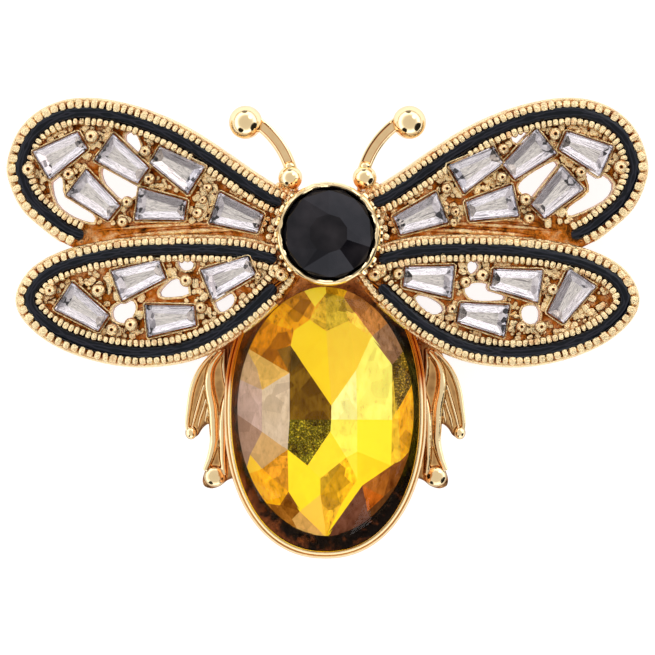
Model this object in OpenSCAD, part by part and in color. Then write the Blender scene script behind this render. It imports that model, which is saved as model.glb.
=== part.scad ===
// Insect brooch: one gold casting with black enamel borders, tapered clear baguettes,
// a black head stone and an amber abdomen stone, and a plain pin on its back.
// It lies face up: +Z is the face, +Y points to the antennae, and the back rests on z = 0.

/* [Wings] */
// Distance from the middle of the brooch to a wing's tip
half_span = 22.65; // [22:0.05:24]
// Height of an upper wing above the line where the wings meet
upper_wing_h = 10.6; // [10.3:0.05:11.5]
// Depth of a lower wing below that line
lower_wing_h = 8.55; // [8.3:0.05:9.3]
// Distance from the middle of the abdomen stone up to that line
wing_line = 11.45; // [11:0.05:12]
// Angle by which the wings fall back towards their tips
wing_slope = 6.5; // [4:0.5:8]
// Height of the upper wings' rims above the table, at the middle of the brooch
wing_top = 5.5; // [5.2:0.1:6]
// Step by which the lower wings lie in front of the upper wings
wing_step = 0.6; // [0.4:0.05:0.8]
// Thickness of a wing's pierced floor
floor_t = 0.75; // [0.6:0.05:1]
// Height of the rims above that floor
rim_h = 0.75; // [0.65:0.05:0.95]

/* [Borders] */
// Width of the smooth edge outside the outer ridge
edge_w = 0.22; // [0.15:0.01:0.35]
// Drop of that edge below the ridge
edge_drop = 0.3; // [0.15:0.05:0.45]
// Width of the outer ridge
outer_ridge_w = 0.42; // [0.35:0.01:0.5]
// Width of the enamel
enamel_w = 0.86; // [0.7:0.01:0.95]
// Width of the inner ridge
inner_ridge_w = 0.42; // [0.3:0.01:0.5]
// Thickness of the enamel
enamel_t = 0.5; // [0.35:0.05:0.6]
// Drop of the enamel's face below the ridges
enamel_drop = 0.1; // [0.05:0.01:0.2]
// Wall that closes each end of the enamel
end_wall = 0.2; // [0.15:0.05:0.35]

/* [Baguettes] */
// Length of a tapered baguette
baguette_l = 3.4; // [3.1:0.05:3.5]
// Width of its wide end
baguette_wide = 2.25; // [2:0.05:2.35]
// Width of its narrow end
baguette_narrow = 1.35; // [1.1:0.05:1.5]
// Height of its crown
baguette_crown = 0.5; // [0.35:0.05:0.65]
// Depth of its pavilion
baguette_pavilion = 0.7; // [0.5:0.05:0.85]
// Height of its girdle above the rims
baguette_lift = 0.02; // [-0.05:0.01:0.1]
// Inset of its table
baguette_table_inset = 0.34; // [0.2:0.02:0.44]
// Wall of the seat round a baguette
seat_wall = 0.22; // [0.15:0.01:0.3]
// Drop of the seat's top below the rims
seat_drop = 0.12; // [0.05:0.01:0.25]
// Radius of a middle-sized ball claw
claw_r = 0.4; // [0.3:0.01:0.45]
// Round corners of the pierced gaps
gap_round = 0.12; // [0.05:0.01:0.2]

/* [Stones] */
// Gap between a stone or the enamel and its setting
stone_gap = 0.04; // [0.02:0.01:0.08]
// Height of a girdle's edge
girdle_t = 0.15; // [0.1:0.01:0.25]
// Diameter of the round head stone
head_stone_d = 6.5; // [6.2:0.05:6.7]
// Crown height of the head stone
head_crown = 1.2; // [0.9:0.05:1.4]
// Pavilion depth of the head stone
head_pavilion = 2.2; // [1.8:0.05:2.4]
// Diameter of the head stone's table
head_table_d = 2.7; // [2.4:0.05:4]
// Width of the abdomen stone
abdomen_w = 13; // [12.6:0.05:13.2]
// Length of the abdomen stone
abdomen_l = 18; // [17.6:0.05:18.2]
// Crown height of the abdomen stone
abdomen_crown = 1.9; // [1.5:0.05:2.3]
// Pavilion depth of the abdomen stone
abdomen_pavilion = 3; // [2.5:0.05:3.2]

/* [Body] */
// Distance from the middle of the abdomen stone up to the middle of the head stone
head_y = 12.4; // [12.2:0.05:12.7]
// Height of the head stone's girdle above the table
head_girdle_z = 6.35; // [6.2:0.05:6.8]
// Wall of the head stone's rim
head_wall = 0.3; // [0.2:0.05:0.45]
// Height of the abdomen stone's girdle above the table
abdomen_girdle_z = 4.1; // [4:0.05:4.4]
// Width that the rim adds at each side of the abdomen stone
cup_side = 0.62; // [0.5:0.02:0.8]
// Width that the rim adds at the lower end of the abdomen stone
cup_end = 1.34; // [1:0.02:1.6]
// Width of the cup's rounded rim
cup_rim_w = 0.56; // [0.35:0.02:0.6]
// Height of that rim above the girdle
cup_rim_h = 0.9; // [0.7:0.05:1.1]
// Overlap of the cup's lip over the stone
lip_w = 0.3; // [0.2:0.02:0.4]
// Width of the block behind the head
thorax_w = 9; // [8.6:0.1:9.6]
// Length of that block
thorax_l = 6.4; // [6:0.1:6.6]
// Height of the block's back above the table
thorax_back = 1.7; // [1.4:0.1:2]

/* [Antennae and legs] */
// Diameter of the ball at an antenna's tip
tip_ball_d = 2.24; // [2:0.02:2.5]
// Diameter of the ball at its foot
foot_ball_d = 1.7; // [1.5:0.02:1.9]
// Width of its stalk
stalk_w = 0.74; // [0.6:0.02:0.9]
// Radius of the stalk's bend
stalk_bend = 6.1; // [5.8:0.05:6.4]
// Height of the antennae above the table
antenna_z = 5.1; // [4.9:0.05:5.4]
// Thickness of the legs
leg_t = 1; // [0.8:0.05:1.3]
// Height of the legs' back above the table
leg_z = 2; // [1.6:0.1:2.4]
// Height of the raised edge along the legs
leg_rim_h = 0.28; // [0.15:0.01:0.4]
// Width of that raised edge
leg_rim_w = 0.3; // [0.2:0.01:0.4]

/* [Pin] */
// Distance between the middle of the hinge foot and the middle of the catch foot
pin_span = 25; // [23:0.1:26]
// Diameter of the pin's wire
pin_d = 0.9; // [0.7:0.05:1]
// Size of each foot along the wings
foot_w = 2.8; // [2.4:0.1:3.2]
// Size of each foot across the wings
foot_l = 2.4; // [2:0.1:2.6]
// Length of the point beyond the catch
pin_point = 1.6; // [1:0.1:2]

/* [Hidden] */
BAGUETTE_NAMES = [for (k = [1:20]) str("baguette_", k < 10 ? "0" : "", k)];
$fn = 48;

UPPER = 0;
LOWER = 1;
LEFT = -1;
RIGHT = 1;

// Outlines of the wings. Columns: outward share of half_span, share of the wing's own height or depth
// measured from the line where the wings meet. The points run from the head over the tip and back.
UPPER_OUTLINE = [
    [0.172, 0.428],
    [0.240, 0.522],
    [0.332, 0.659],
    [0.425, 0.786],
    [0.518, 0.883],
    [0.626, 0.960],
    [0.734, 0.997],
    [0.827, 0.980],
    [0.910, 0.898],
    [0.969, 0.758],
    [1.000, 0.560],
    [0.989, 0.409],
    [0.951, 0.250],
    [0.886, 0.122],
    [0.821, 0.026],
    [0.734, -0.026],
    [0.502, -0.013],
    [0.270, -0.013],
    [0.085, 0.053],
    [0.085, 0.316]
];
LOWER_OUTLINE = [
    [0.178, 0.041],
    [0.286, 0.098],
    [0.440, 0.112],
    [0.611, 0.093],
    [0.765, 0.025],
    [0.873, -0.078],
    [0.941, -0.221],
    [0.972, -0.418],
    [0.944, -0.607],
    [0.858, -0.795],
    [0.734, -0.926],
    [0.595, -0.984],
    [0.456, -0.951],
    [0.348, -0.848],
    [0.255, -0.697],
    [0.178, -0.525],
    [0.119, -0.361],
    [0.085, -0.221],
    [0.100, -0.033]
];

// Tapered baguettes. Columns: wing, share of half_span to the right, share of the wing's height or
// depth, turn of the wide end in degrees.
BAGUETTES = [
    [UPPER, -0.823, 0.628, 211],
    [UPPER, -0.631, 0.572, 144],
    [UPPER, -0.469, 0.531, 328],
    [UPPER, -0.719, 0.333, 141],
    [UPPER, -0.514, 0.269, 172],
    [UPPER, -0.278, 0.211, 161],
    [LOWER, -0.755, -0.506, 146],
    [LOWER, -0.581, -0.245, 200],
    [LOWER, -0.303, -0.227, 203],
    [LOWER, -0.484, -0.578, 186],
    [UPPER, 0.796, 0.643, 335],
    [UPPER, 0.619, 0.605, 39],
    [UPPER, 0.462, 0.533, 210],
    [UPPER, 0.705, 0.354, 44],
    [UPPER, 0.507, 0.277, 13],
    [UPPER, 0.284, 0.205, 22],
    [LOWER, 0.747, -0.409, 56],
    [LOWER, 0.583, -0.285, 351],
    [LOWER, 0.311, -0.260, 354],
    [LOWER, 0.479, -0.566, 350]
];

// Ball claws. Columns: wing, share of half_span to the right, share of the wing's height or depth,
// size as a share of claw_r.
CLAWS = [
    [UPPER, -0.731, 0.738, 1.15],
    [UPPER, -0.926, 0.521, 1.15],
    [UPPER, -0.802, 0.488, 1.05],
    [UPPER, -0.564, 0.639, 0.95],
    [UPPER, -0.552, 0.455, 0.95],
    [UPPER, -0.620, 0.303, 0.95],
    [UPPER, -0.635, 0.171, 0.90],
    [UPPER, -0.372, 0.396, 0.80],
    [UPPER, -0.385, 0.316, 0.70],
    [UPPER, -0.403, 0.231, 0.90],
    [LOWER, -0.709, -0.352, 1.15],
    [LOWER, -0.666, -0.672, 1.05],
    [LOWER, -0.607, -0.631, 1.15],
    [LOWER, -0.437, -0.270, 1.05],
    [LOWER, -0.391, -0.492, 0.95],
    [LOWER, -0.215, -0.230, 0.60],
    [LOWER, -0.858, -0.352, 1.05],
    [LOWER, -0.141, -0.221, 1.15],
    [UPPER, 0.544, 0.654, 0.95],
    [UPPER, 0.704, 0.754, 1.05],
    [UPPER, 0.908, 0.537, 1.20],
    [UPPER, 0.785, 0.501, 0.95],
    [UPPER, 0.539, 0.466, 0.95],
    [UPPER, 0.613, 0.319, 1.05],
    [UPPER, 0.624, 0.195, 0.95],
    [UPPER, 0.368, 0.390, 0.90],
    [UPPER, 0.395, 0.237, 0.80],
    [UPPER, 0.390, 0.165, 0.70],
    [LOWER, 0.219, -0.217, 0.95],
    [LOWER, 0.478, -0.225, 1.05],
    [LOWER, 0.426, -0.283, 0.95],
    [LOWER, 0.384, -0.502, 0.90],
    [LOWER, 0.696, -0.341, 0.95],
    [LOWER, 0.599, -0.648, 0.90],
    [LOWER, 0.660, -0.648, 1.05],
    [LOWER, 0.145, -0.221, 1.15]
];

// Pierced gaps. Columns: wing, then the corners as shares of half_span to the right and of the
// wing's height or depth.
GAPS = [
    [UPPER, [[-0.855, 0.455], [-0.830, 0.455], [-0.821, 0.335], [-0.748, 0.245], [-0.728, 0.178], [-0.790, 0.215], [-0.842, 0.305]]],
    [UPPER, [[-0.700, 0.520], [-0.668, 0.508], [-0.592, 0.405], [-0.598, 0.355], [-0.642, 0.330], [-0.690, 0.430]]],
    [UPPER, [[-0.626, 0.745], [-0.602, 0.750], [-0.586, 0.672], [-0.598, 0.640], [-0.620, 0.690]]],
    [LOWER, [[-0.663, -0.500], [-0.614, -0.443], [-0.601, -0.500], [-0.623, -0.598], [-0.660, -0.590]]],
    [LOWER, [[-0.515, -0.352], [-0.471, -0.262], [-0.434, -0.369], [-0.509, -0.393]]],
    [LOWER, [[-0.348, -0.402], [-0.298, -0.393], [-0.301, -0.467], [-0.335, -0.516]]],
    [LOWER, [[-0.462, -0.115], [-0.425, -0.115], [-0.425, -0.164], [-0.450, -0.172]]],
    [UPPER, [[0.808, 0.501], [0.845, 0.488], [0.886, 0.422], [0.861, 0.323], [0.762, 0.224], [0.756, 0.264], [0.818, 0.369]]],
    [UPPER, [[0.700, 0.560], [0.709, 0.527], [0.648, 0.349], [0.617, 0.356], [0.598, 0.402], [0.626, 0.468]]],
    [UPPER, [[0.580, 0.758], [0.598, 0.778], [0.626, 0.758], [0.607, 0.705], [0.580, 0.712]]],
    [LOWER, [[0.277, -0.410], [0.314, -0.418], [0.351, -0.475], [0.354, -0.525], [0.317, -0.525]]],
    [LOWER, [[0.431, -0.344], [0.456, -0.303], [0.499, -0.311], [0.543, -0.393], [0.540, -0.418], [0.456, -0.418]]],
    [LOWER, [[0.440, -0.139], [0.459, -0.123], [0.465, -0.164], [0.447, -0.205]]],
    [LOWER, [[0.611, -0.500], [0.651, -0.492], [0.654, -0.590], [0.632, -0.615], [0.611, -0.582]]]
];

// Outline of a pair of legs and of the ridge along the lower one. Columns: outward share of the
// cup's half width, share of its half length, from the middle of the abdomen stone.
LEG_OUTLINE = [
    [0.985, 0.449],
    [1.112, 0.408],
    [1.200, 0.334],
    [1.259, 0.253],
    [1.308, 0.151],
    [1.347, 0.049],
    [1.372, -0.045],
    [1.387, -0.133],
    [1.357, -0.181],
    [1.303, -0.194],
    [1.244, -0.174],
    [1.200, -0.127],
    [1.146, -0.100],
    [1.112, -0.127],
    [1.102, -0.194],
    [1.112, -0.269],
    [1.151, -0.336],
    [1.200, -0.397],
    [1.230, -0.465],
    [1.210, -0.519],
    [1.131, -0.540],
    [1.043, -0.526],
    [0.964, -0.485],
    [0.836, -0.397],
    [0.860, 0.077]
];
LEG_RIDGE = [
    [0.994, 0.415],
    [1.112, 0.313],
    [1.141, 0.178],
    [1.121, 0.043],
    [1.097, -0.127],
    [1.102, -0.296],
    [1.161, -0.411],
    [1.170, -0.480],
    [1.082, -0.490],
    [1.033, -0.397],
    [1.013, -0.262],
    [1.013, -0.093],
    [1.033, 0.077],
    [1.043, 0.212],
    [0.984, 0.334]
];

// Wing borders, measured inwards from the outline
enamel_from = edge_w + outer_ridge_w;
enamel_to = enamel_from + enamel_w;
border_to = enamel_to + inner_ridge_w;
wing_t = floor_t + rim_h;
// The border stops at the head's rim on the upper wings, and here beside the root of the lower ones
root_x = 3.4;
// The upper wings' border ends at this level, and at the higher one beside the lower wings, out to a share
// of half_span
border_foot = 0.35;
open_foot = 2.2;
open_to = 0.735;
// How far a cutting shape reaches past the metal
past = 1.5;

// Shape of the cup: a side's and an end's half size, and the bulge of its oval
cup_half_w = abdomen_w / 2 + cup_side;
cup_half_l = abdomen_l / 2 + cup_end;
cup_bulge = 2.2;
cup_steps = 48;
abdomen_x = -0.15;
head_x = 0.07;
head_rim_r = head_stone_d / 2 + head_wall;
head_rim_z = head_girdle_z + 0.6;

// Rounded back of the cup. Columns: inset as a share of the cup's side, height as a share of the rim's.
CUP_BACK = [
    [0.27, 0.00],
    [0.17, 0.06],
    [0.08, 0.22],
    [0.02, 0.50],
    [0.00, 0.80],
    [0.00, 0.94]
];
// Facets of the oval stone. Columns: share of its half sizes, share of the crown's height.
ABDOMEN_CROWN = [
    [0.79, 0.48],
    [0.50, 1.00]
];
// Facets of its back. Columns: share of its half sizes, share of the pavilion's depth.
ABDOMEN_PAVILION = [
    [0.10, 1.00],
    [0.62, 0.62]
];

// Antennae, from the middle of the abdomen stone
tip_ball = [5.73, 20.21];
foot_ball = [2.6, 16.33];
stalk_centre = [8.41, 15.18];
stalk_from = 118;
stalk_to = 164;

// The middle of the brooch's length is at y = 0
mid_y = (wing_line + upper_wing_h - cup_half_l) / 2;

// A smooth closed curve through a table's points, with a few steps from each point to the next
function smooth(pts, steps = 3) = [
    for (i = [0:len(pts) - 1], j = [0:steps - 1])
        let (
            a = pts[(i + len(pts) - 1) % len(pts)],
            b = pts[i],
            c = pts[(i + 1) % len(pts)],
            d = pts[(i + 2) % len(pts)],
            t = j / steps
        )
        0.5 * (2 * b + (c - a) * t + (2 * a - 5 * b + 4 * c - d) * t ^ 2 + (3 * b - a - 3 * c + d) * t ^ 3)
];

// A point of a wing's table in millimetres, in the plane of the wing's rims
function spot(wing, x, y) = [x * half_span / cos(wing_slope), y * (wing == UPPER ? upper_wing_h : lower_wing_h)];

// Corners of a tapered baguette, drawn in by an inset, at a height
function baguette_ring(inset, z) =
    let (
        taper = (baguette_wide - baguette_narrow) / 2 / baguette_l,
        side = inset * sqrt(1 + taper ^ 2),
        x = baguette_l / 2 - inset,
        narrow = baguette_narrow / 2 + taper * inset - side,
        wide = baguette_wide / 2 - taper * inset - side
    )
    [[-x, -narrow, z], [x, -wide, z], [x, wide, z], [-x, narrow, z]];

// A ring of points on an oval: bulge 2 is an ellipse, more is squarer
function oval_ring(a, b, z, count, bulge = 2, turn = 0) = [
    for (i = [0:count - 1])
        let (t = 360 * (i + turn) / count, c = cos(t), s = sin(t))
        [a * sign(c) * abs(c) ^ (2 / bulge), b * sign(s) * abs(s) ^ (2 / bulge), z]
];

// Joins rings with equally many points, listed upwards, into one closed solid
module loft(rings) {
    count = len(rings[0]);
    last = len(rings) - 1;
    polyhedron(
        points = [for (ring = rings) each ring],
        faces = concat(
            [[for (i = [0:count - 1]) i]],
            [[for (i = [count - 1:-1:0]) last * count + i]],
            [
                for (k = [0:last - 1], i = [0:count - 1])
                    let (here = k * count, j = (i + 1) % count)
                    [here + j, here + i, here + count + i]
            ],
            [
                for (k = [0:last - 1], i = [0:count - 1])
                    let (here = k * count, j = (i + 1) % count)
                    [here + j, here + count + i, here + count + j]
            ]
        )
    );
}

// Moves children to a wing's rim plane, where z = 0 is the top of the rims
module on_wing(side, wing) {
    translate([0, wing_line - mid_y, wing_top + (wing == LOWER ? wing_step : 0)])
        rotate([0, side * wing_slope, 0])
            children();
}

// Moves children to the middle of the abdomen stone, on the table
module at_abdomen() {
    translate([abdomen_x, -mid_y, 0])
        children();
}

// Moves children to the middle of the head stone, on the table
module at_head() {
    translate([head_x, head_y - mid_y, 0])
        children();
}

// A wing's outline, drawn in by an inset
module wing_outline(side, wing, inset = 0) {
    table = wing == UPPER ? UPPER_OUTLINE : LOWER_OUTLINE;
    offset(delta = -inset)
        polygon([for (p = smooth(table)) spot(wing, side * p[0], p[1])]);
}

// The part of a wing's plane where the border is left out, grown by a margin
module border_break(wing, margin = 0) {
    if (wing == UPPER) {
        translate([-half_span - past, border_foot + margin - upper_wing_h])
            square([2 * (half_span + past), upper_wing_h]);
        translate([-open_to * half_span - margin, open_foot + margin - upper_wing_h])
            square([2 * (open_to * half_span + margin), upper_wing_h]);
        translate([head_x, head_y - wing_line])
            circle(r = head_rim_r + margin);
    } else {
        translate([-root_x - margin, -lower_wing_h - past])
            square([2 * (root_x + margin), 2 * (lower_wing_h + past)]);
    }
}

// The enamel's channel, drawn in by an inset
module enamel_band(side, wing, inset = 0) {
    difference() {
        wing_outline(side, wing, enamel_from + inset);
        wing_outline(side, wing, enamel_to - inset);
        border_break(wing, end_wall + inset);
    }
}

// Both ridges with the channel between them still filled
module border_band(side, wing) {
    difference() {
        wing_outline(side, wing, edge_w);
        wing_outline(side, wing, border_to);
        border_break(wing);
    }
}

// Moves children to the place of a baguette, on its wing's rim plane
module at_baguette(row) {
    translate(concat(spot(row[0], row[1], row[2]), baguette_lift))
        rotate(row[3])
            children();
}

// The walls round all the baguettes of one wing
module seats(side, wing) {
    intersection() {
        wing_outline(side, wing, enamel_to);
        offset(delta = stone_gap + seat_wall)
            for (row = BAGUETTES)
                if (row[0] == wing && sign(row[1]) == side)
                    translate(spot(row[0], row[1], row[2]))
                        rotate(row[3])
                            polygon([for (p = baguette_ring(0, 0)) [p[0], p[1]]]);
    }
}

// One pierced gap, with round corners
module gap(row) {
    offset(r = gap_round, $fn = 16)
        offset(delta = -gap_round)
            polygon([for (p = row[1]) spot(row[0], p[0], p[1])]);
}

// Room for a baguette: its back with a gap round it, and a straight way in from the front
module baguette_room() {
    deep = baguette_pavilion - stone_gap;
    loft([
        baguette_ring(deep - stone_gap, -baguette_pavilion - stone_gap),
        baguette_ring(-stone_gap, 0),
        baguette_ring(-stone_gap, past)
    ]);
}

// A ball on a post that holds the edges of the stones beside it
module claw(row) {
    r = claw_r * row[3];
    translate(concat(spot(row[0], row[1], row[2]), 0)) {
        sphere(r = r);
        translate([0, 0, -rim_h - floor_t / 2])
            cylinder(r = 0.8 * r, h = rim_h + floor_t / 2);
    }
}

// The metal of one wing
module wing_metal(side, wing) {
    on_wing(side, wing)
        difference() {
            union() {
                translate([0, 0, -wing_t])
                    linear_extrude(floor_t)
                        wing_outline(side, wing);
                translate([0, 0, -wing_t])
                    linear_extrude(wing_t - edge_drop)
                        difference() {
                            wing_outline(side, wing);
                            wing_outline(side, wing, enamel_from);
                            border_break(wing);
                        }
                translate([0, 0, -wing_t])
                    linear_extrude(wing_t)
                        border_band(side, wing);
                translate([0, 0, -wing_t])
                    linear_extrude(wing_t - seat_drop)
                        seats(side, wing);
                for (row = CLAWS)
                    if (row[0] == wing && sign(row[1]) == side)
                        claw(row);
            }
            translate([0, 0, -wing_t - past])
                linear_extrude(wing_t + 2 * past)
                    for (row = GAPS)
                        if (row[0] == wing && sign(row[1][0][0]) == side)
                            gap(row);
            for (row = BAGUETTES)
                if (row[0] == wing && sign(row[1]) == side)
                    at_baguette(row)
                        baguette_room();
        }
}

// The cup behind the abdomen stone, with a rounded rim and a lip that slopes in to the stone
module cup_body() {
    rim_z = abdomen_girdle_z + girdle_t + cup_rim_h;
    lip_z = abdomen_girdle_z + girdle_t + 0.25;
    round_in = cup_rim_w / 4;
    at_abdomen()
        loft(concat(
            [
                for (row = CUP_BACK)
                    let (inset = row[0] * cup_half_w)
                    oval_ring(cup_half_w - inset, cup_half_l - inset, row[1] * rim_z, cup_steps, cup_bulge)
            ],
            [
                oval_ring(cup_half_w - round_in, cup_half_l - round_in, rim_z, cup_steps, cup_bulge),
                oval_ring(cup_half_w - 0.7 * cup_rim_w, cup_half_l - 0.7 * cup_rim_w, rim_z, cup_steps, cup_bulge),
                oval_ring(cup_half_w - cup_rim_w, cup_half_l - cup_rim_w, rim_z - round_in, cup_steps, cup_bulge),
                oval_ring(abdomen_w / 2 - lip_w, abdomen_l / 2 - lip_w, lip_z, cup_steps)
            ]
        ));
}

// The abdomen stone, or the room for it when it is grown by a margin
module abdomen_cut(margin = 0) {
    a = abdomen_w / 2 + margin;
    b = abdomen_l / 2 + margin;
    facets = 16;
    crown_z = abdomen_girdle_z + girdle_t + margin;
    back_z = abdomen_girdle_z - margin;
    at_abdomen()
        loft(concat(
            [
                for (k = [0:len(ABDOMEN_PAVILION) - 1])
                    let (row = ABDOMEN_PAVILION[k])
                    oval_ring(a * row[0], b * row[0], back_z - row[1] * abdomen_pavilion, facets, turn = k / 2)
            ],
            [
                oval_ring(a, b, back_z, facets, turn = 1),
                oval_ring(a, b, crown_z, facets, turn = 1)
            ],
            [
                for (k = [0:len(ABDOMEN_CROWN) - 1])
                    let (row = ABDOMEN_CROWN[k])
                    oval_ring(a * row[0], b * row[0], crown_z + row[1] * abdomen_crown, facets, turn = 1.5 + k / 2)
            ]
        ));
}

// The setting of the head stone before its room is cut
module head_body() {
    at_head()
        rotate_extrude()
            polygon([
                [0, thorax_back],
                [head_rim_r - 0.9, thorax_back],
                [head_rim_r - 0.3, thorax_back + 1],
                [head_rim_r, thorax_back + 2.8],
                [head_rim_r, head_rim_z - 0.2],
                [head_rim_r - 0.1, head_rim_z],
                [head_rim_r - 0.3, head_rim_z],
                [head_stone_d / 2 - 0.15, head_girdle_z + girdle_t + 0.2],
                [0, head_girdle_z + girdle_t + 0.2]
            ]);
}

// The head stone, or the room for it when it is grown by a margin
module head_cut(margin = 0) {
    r = head_stone_d / 2 + margin;
    facets = 12;
    crown_z = head_girdle_z + girdle_t + margin;
    back_z = head_girdle_z - margin;
    at_head()
        loft([
            oval_ring(0.08 * r, 0.08 * r, back_z - head_pavilion, facets),
            oval_ring(r, r, back_z, facets, turn = 0.5),
            oval_ring(r, r, crown_z, facets, turn = 0.5),
            oval_ring(head_table_d / 2 + margin, head_table_d / 2 + margin, crown_z + head_crown, facets, turn = 1)
        ]);
}

// The block that joins the wings behind the head, with a lug under each antenna
module thorax() {
    corner = 0.6;
    top_z = wing_top - rim_h - floor_t / 2;
    at_head() {
        translate([0, 0, thorax_back])
            linear_extrude(top_z - thorax_back)
                offset(r = corner)
                    square([thorax_w - 2 * corner, thorax_l - 2 * corner], center = true);
        translate([0, 0, thorax_back + 1])
            linear_extrude(antenna_z - 0.3 - thorax_back - 1)
                for (side = [LEFT, RIGHT])
                    hull() {
                        translate([side * foot_ball[0], foot_ball[1] - head_y])
                            circle(d = foot_ball_d, $fn = 24);
                        circle(d = foot_ball_d, $fn = 24);
                    }
    }
}

// One antenna: a ball at its foot, a bent stalk with a hollow face, and a bigger ball at its tip
module antenna(side) {
    groove_w = stalk_w * 0.45;
    groove_h = 0.12;
    translate([0, -mid_y, antenna_z])
        scale([side, 1, 1]) {
            translate([foot_ball[0], foot_ball[1], 0])
                sphere(d = foot_ball_d);
            translate([tip_ball[0], tip_ball[1], 0])
                sphere(d = tip_ball_d);
            translate([stalk_centre[0], stalk_centre[1], 0])
                rotate(stalk_from)
                    rotate_extrude(angle = stalk_to - stalk_from)
                        translate([stalk_bend, 0])
                            difference() {
                                square([stalk_w, stalk_w], center = true);
                                translate([0, stalk_w / 2])
                                    square([groove_w, 2 * groove_h], center = true);
                            }
        }
}

// A leg's outline from its table
module leg_shape(side, table, inset = 0) {
    offset(delta = -inset)
        polygon([for (p = smooth(table, 2)) [side * p[0] * cup_half_w, p[1] * cup_half_l]]);
}

// The pair of legs at one side, with a raised edge and a ridge
module legs(side) {
    at_abdomen()
        translate([0, 0, leg_z]) {
            linear_extrude(leg_t)
                leg_shape(side, LEG_OUTLINE);
            linear_extrude(leg_t + leg_rim_h)
                difference() {
                    leg_shape(side, LEG_OUTLINE);
                    leg_shape(side, LEG_OUTLINE, leg_rim_w);
                }
            linear_extrude(leg_t + 1.5 * leg_rim_h)
                leg_shape(side, LEG_RIDGE);
        }
}

// Room for the enamel in one wing's border, also where the border lies over the cup's rim
module enamel_room(side, wing) {
    on_wing(side, wing)
        translate([0, 0, -enamel_drop - enamel_t - stone_gap])
            linear_extrude(past)
                enamel_band(side, wing);
}

// Everything that is cast or soldered together
module casting() {
    color("goldenrod")
        difference() {
            union() {
                for (side = [LEFT, RIGHT]) {
                    wing_metal(side, UPPER);
                    wing_metal(side, LOWER);
                    legs(side);
                    antenna(side);
                }
                thorax();
                head_body();
                cup_body();
            }
            abdomen_cut(stone_gap);
            head_cut(stone_gap);
            for (side = [LEFT, RIGHT], wing = [UPPER, LOWER])
                enamel_room(side, wing);
        }
}

// The black enamel in one wing's border
module enamel(side, wing) {
    color([0.05, 0.05, 0.06])
        on_wing(side, wing)
            translate([0, 0, -enamel_drop - enamel_t])
                linear_extrude(enamel_t)
                    enamel_band(side, wing, stone_gap);
}

// One clear step-cut baguette
module baguette(k) {
    row = BAGUETTES[k];
    color([0.85, 0.86, 0.9])
        on_wing(sign(row[1]), row[0])
            at_baguette(row)
                loft([
                    baguette_ring(baguette_pavilion - 2 * stone_gap, -baguette_pavilion),
                    baguette_ring(0, 0),
                    baguette_ring(0, girdle_t),
                    baguette_ring(baguette_table_inset / 2, girdle_t + 0.62 * (baguette_crown - girdle_t)),
                    baguette_ring(baguette_table_inset, baguette_crown)
                ]);
}

module head_stone() {
    color([0.1, 0.1, 0.13])
        head_cut();
}

module abdomen_stone() {
    color([0.97, 0.83, 0.16])
        abdomen_cut();
}

// One foot of the pin fitting, from the table to just under the wing's back
module pin_foot(side) {
    knuckle_r = 0.8;
    difference() {
        translate([side * pin_span / 2, head_y - mid_y, 0]) {
            translate([-foot_w / 2, -foot_l / 2, knuckle_r])
                cube([foot_w, foot_l, wing_top]);
            translate([0, 0, knuckle_r])
                rotate([90, 0, 0])
                    cylinder(r = knuckle_r, h = foot_l, center = true);
        }
        on_wing(side, UPPER)
            translate([-half_span, -half_span, -wing_t - stone_gap])
                cube([2 * half_span, 2 * half_span, 2 * wing_top]);
    }
}

// The plain closed pin: hinge foot, wire and catch foot in one piece
module pin_fitting() {
    wire_z = 0.7;
    color("silver") {
        pin_foot(LEFT);
        pin_foot(RIGHT);
        translate([-pin_span / 2, head_y - mid_y, wire_z])
            rotate([0, 90, 0])
                cylinder(d = pin_d, h = pin_span);
        translate([pin_span / 2, head_y - mid_y, wire_z])
            rotate([0, 90, 0])
                cylinder(d1 = pin_d, d2 = 0.1, h = foot_w / 2 + pin_point);
    }
}

casting();
enamel(LEFT, UPPER);  // enamel_upper_left
enamel(RIGHT, UPPER);  // enamel_upper_right
enamel(LEFT, LOWER);  // enamel_lower_left
enamel(RIGHT, LOWER);  // enamel_lower_right
for (k = [0:len(BAGUETTES) - 1])
    baguette(k);
head_stone();
abdomen_stone();
pin_fitting();
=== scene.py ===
# %% [markdown]
# # An insect brooch, dressed
# The frame holds this brooch as plain solids at their real size: one gold casting, black enamel, clear and
# coloured stones, and a pin. This lesson builds what a jeweller would see on them: milgrain, ball claws,
# polished and grained gold, and cut stones with foil behind them. Each piece is modelled in millimetres, as
# by hand, and then put into the frame's metres.

# %% Load the frame
import math
import random

import bpy
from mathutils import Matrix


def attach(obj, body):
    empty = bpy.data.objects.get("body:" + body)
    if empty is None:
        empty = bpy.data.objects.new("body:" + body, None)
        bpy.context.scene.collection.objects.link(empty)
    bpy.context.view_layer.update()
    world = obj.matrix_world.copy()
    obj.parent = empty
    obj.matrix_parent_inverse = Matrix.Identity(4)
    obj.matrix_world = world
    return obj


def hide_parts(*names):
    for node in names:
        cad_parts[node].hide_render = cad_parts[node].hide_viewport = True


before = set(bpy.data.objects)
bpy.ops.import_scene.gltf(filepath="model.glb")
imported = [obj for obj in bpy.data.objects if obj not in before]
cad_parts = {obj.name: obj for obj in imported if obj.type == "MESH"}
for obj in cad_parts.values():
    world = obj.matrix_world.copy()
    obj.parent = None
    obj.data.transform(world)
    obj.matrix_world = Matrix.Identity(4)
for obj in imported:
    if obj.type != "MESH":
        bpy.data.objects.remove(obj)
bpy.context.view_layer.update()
ROOT = "root"
LEFT, RIGHT = -1, 1
UPPER, LOWER = "upper", "lower"
SIDE_NAMES = {LEFT: "left", RIGHT: "right"}


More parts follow.
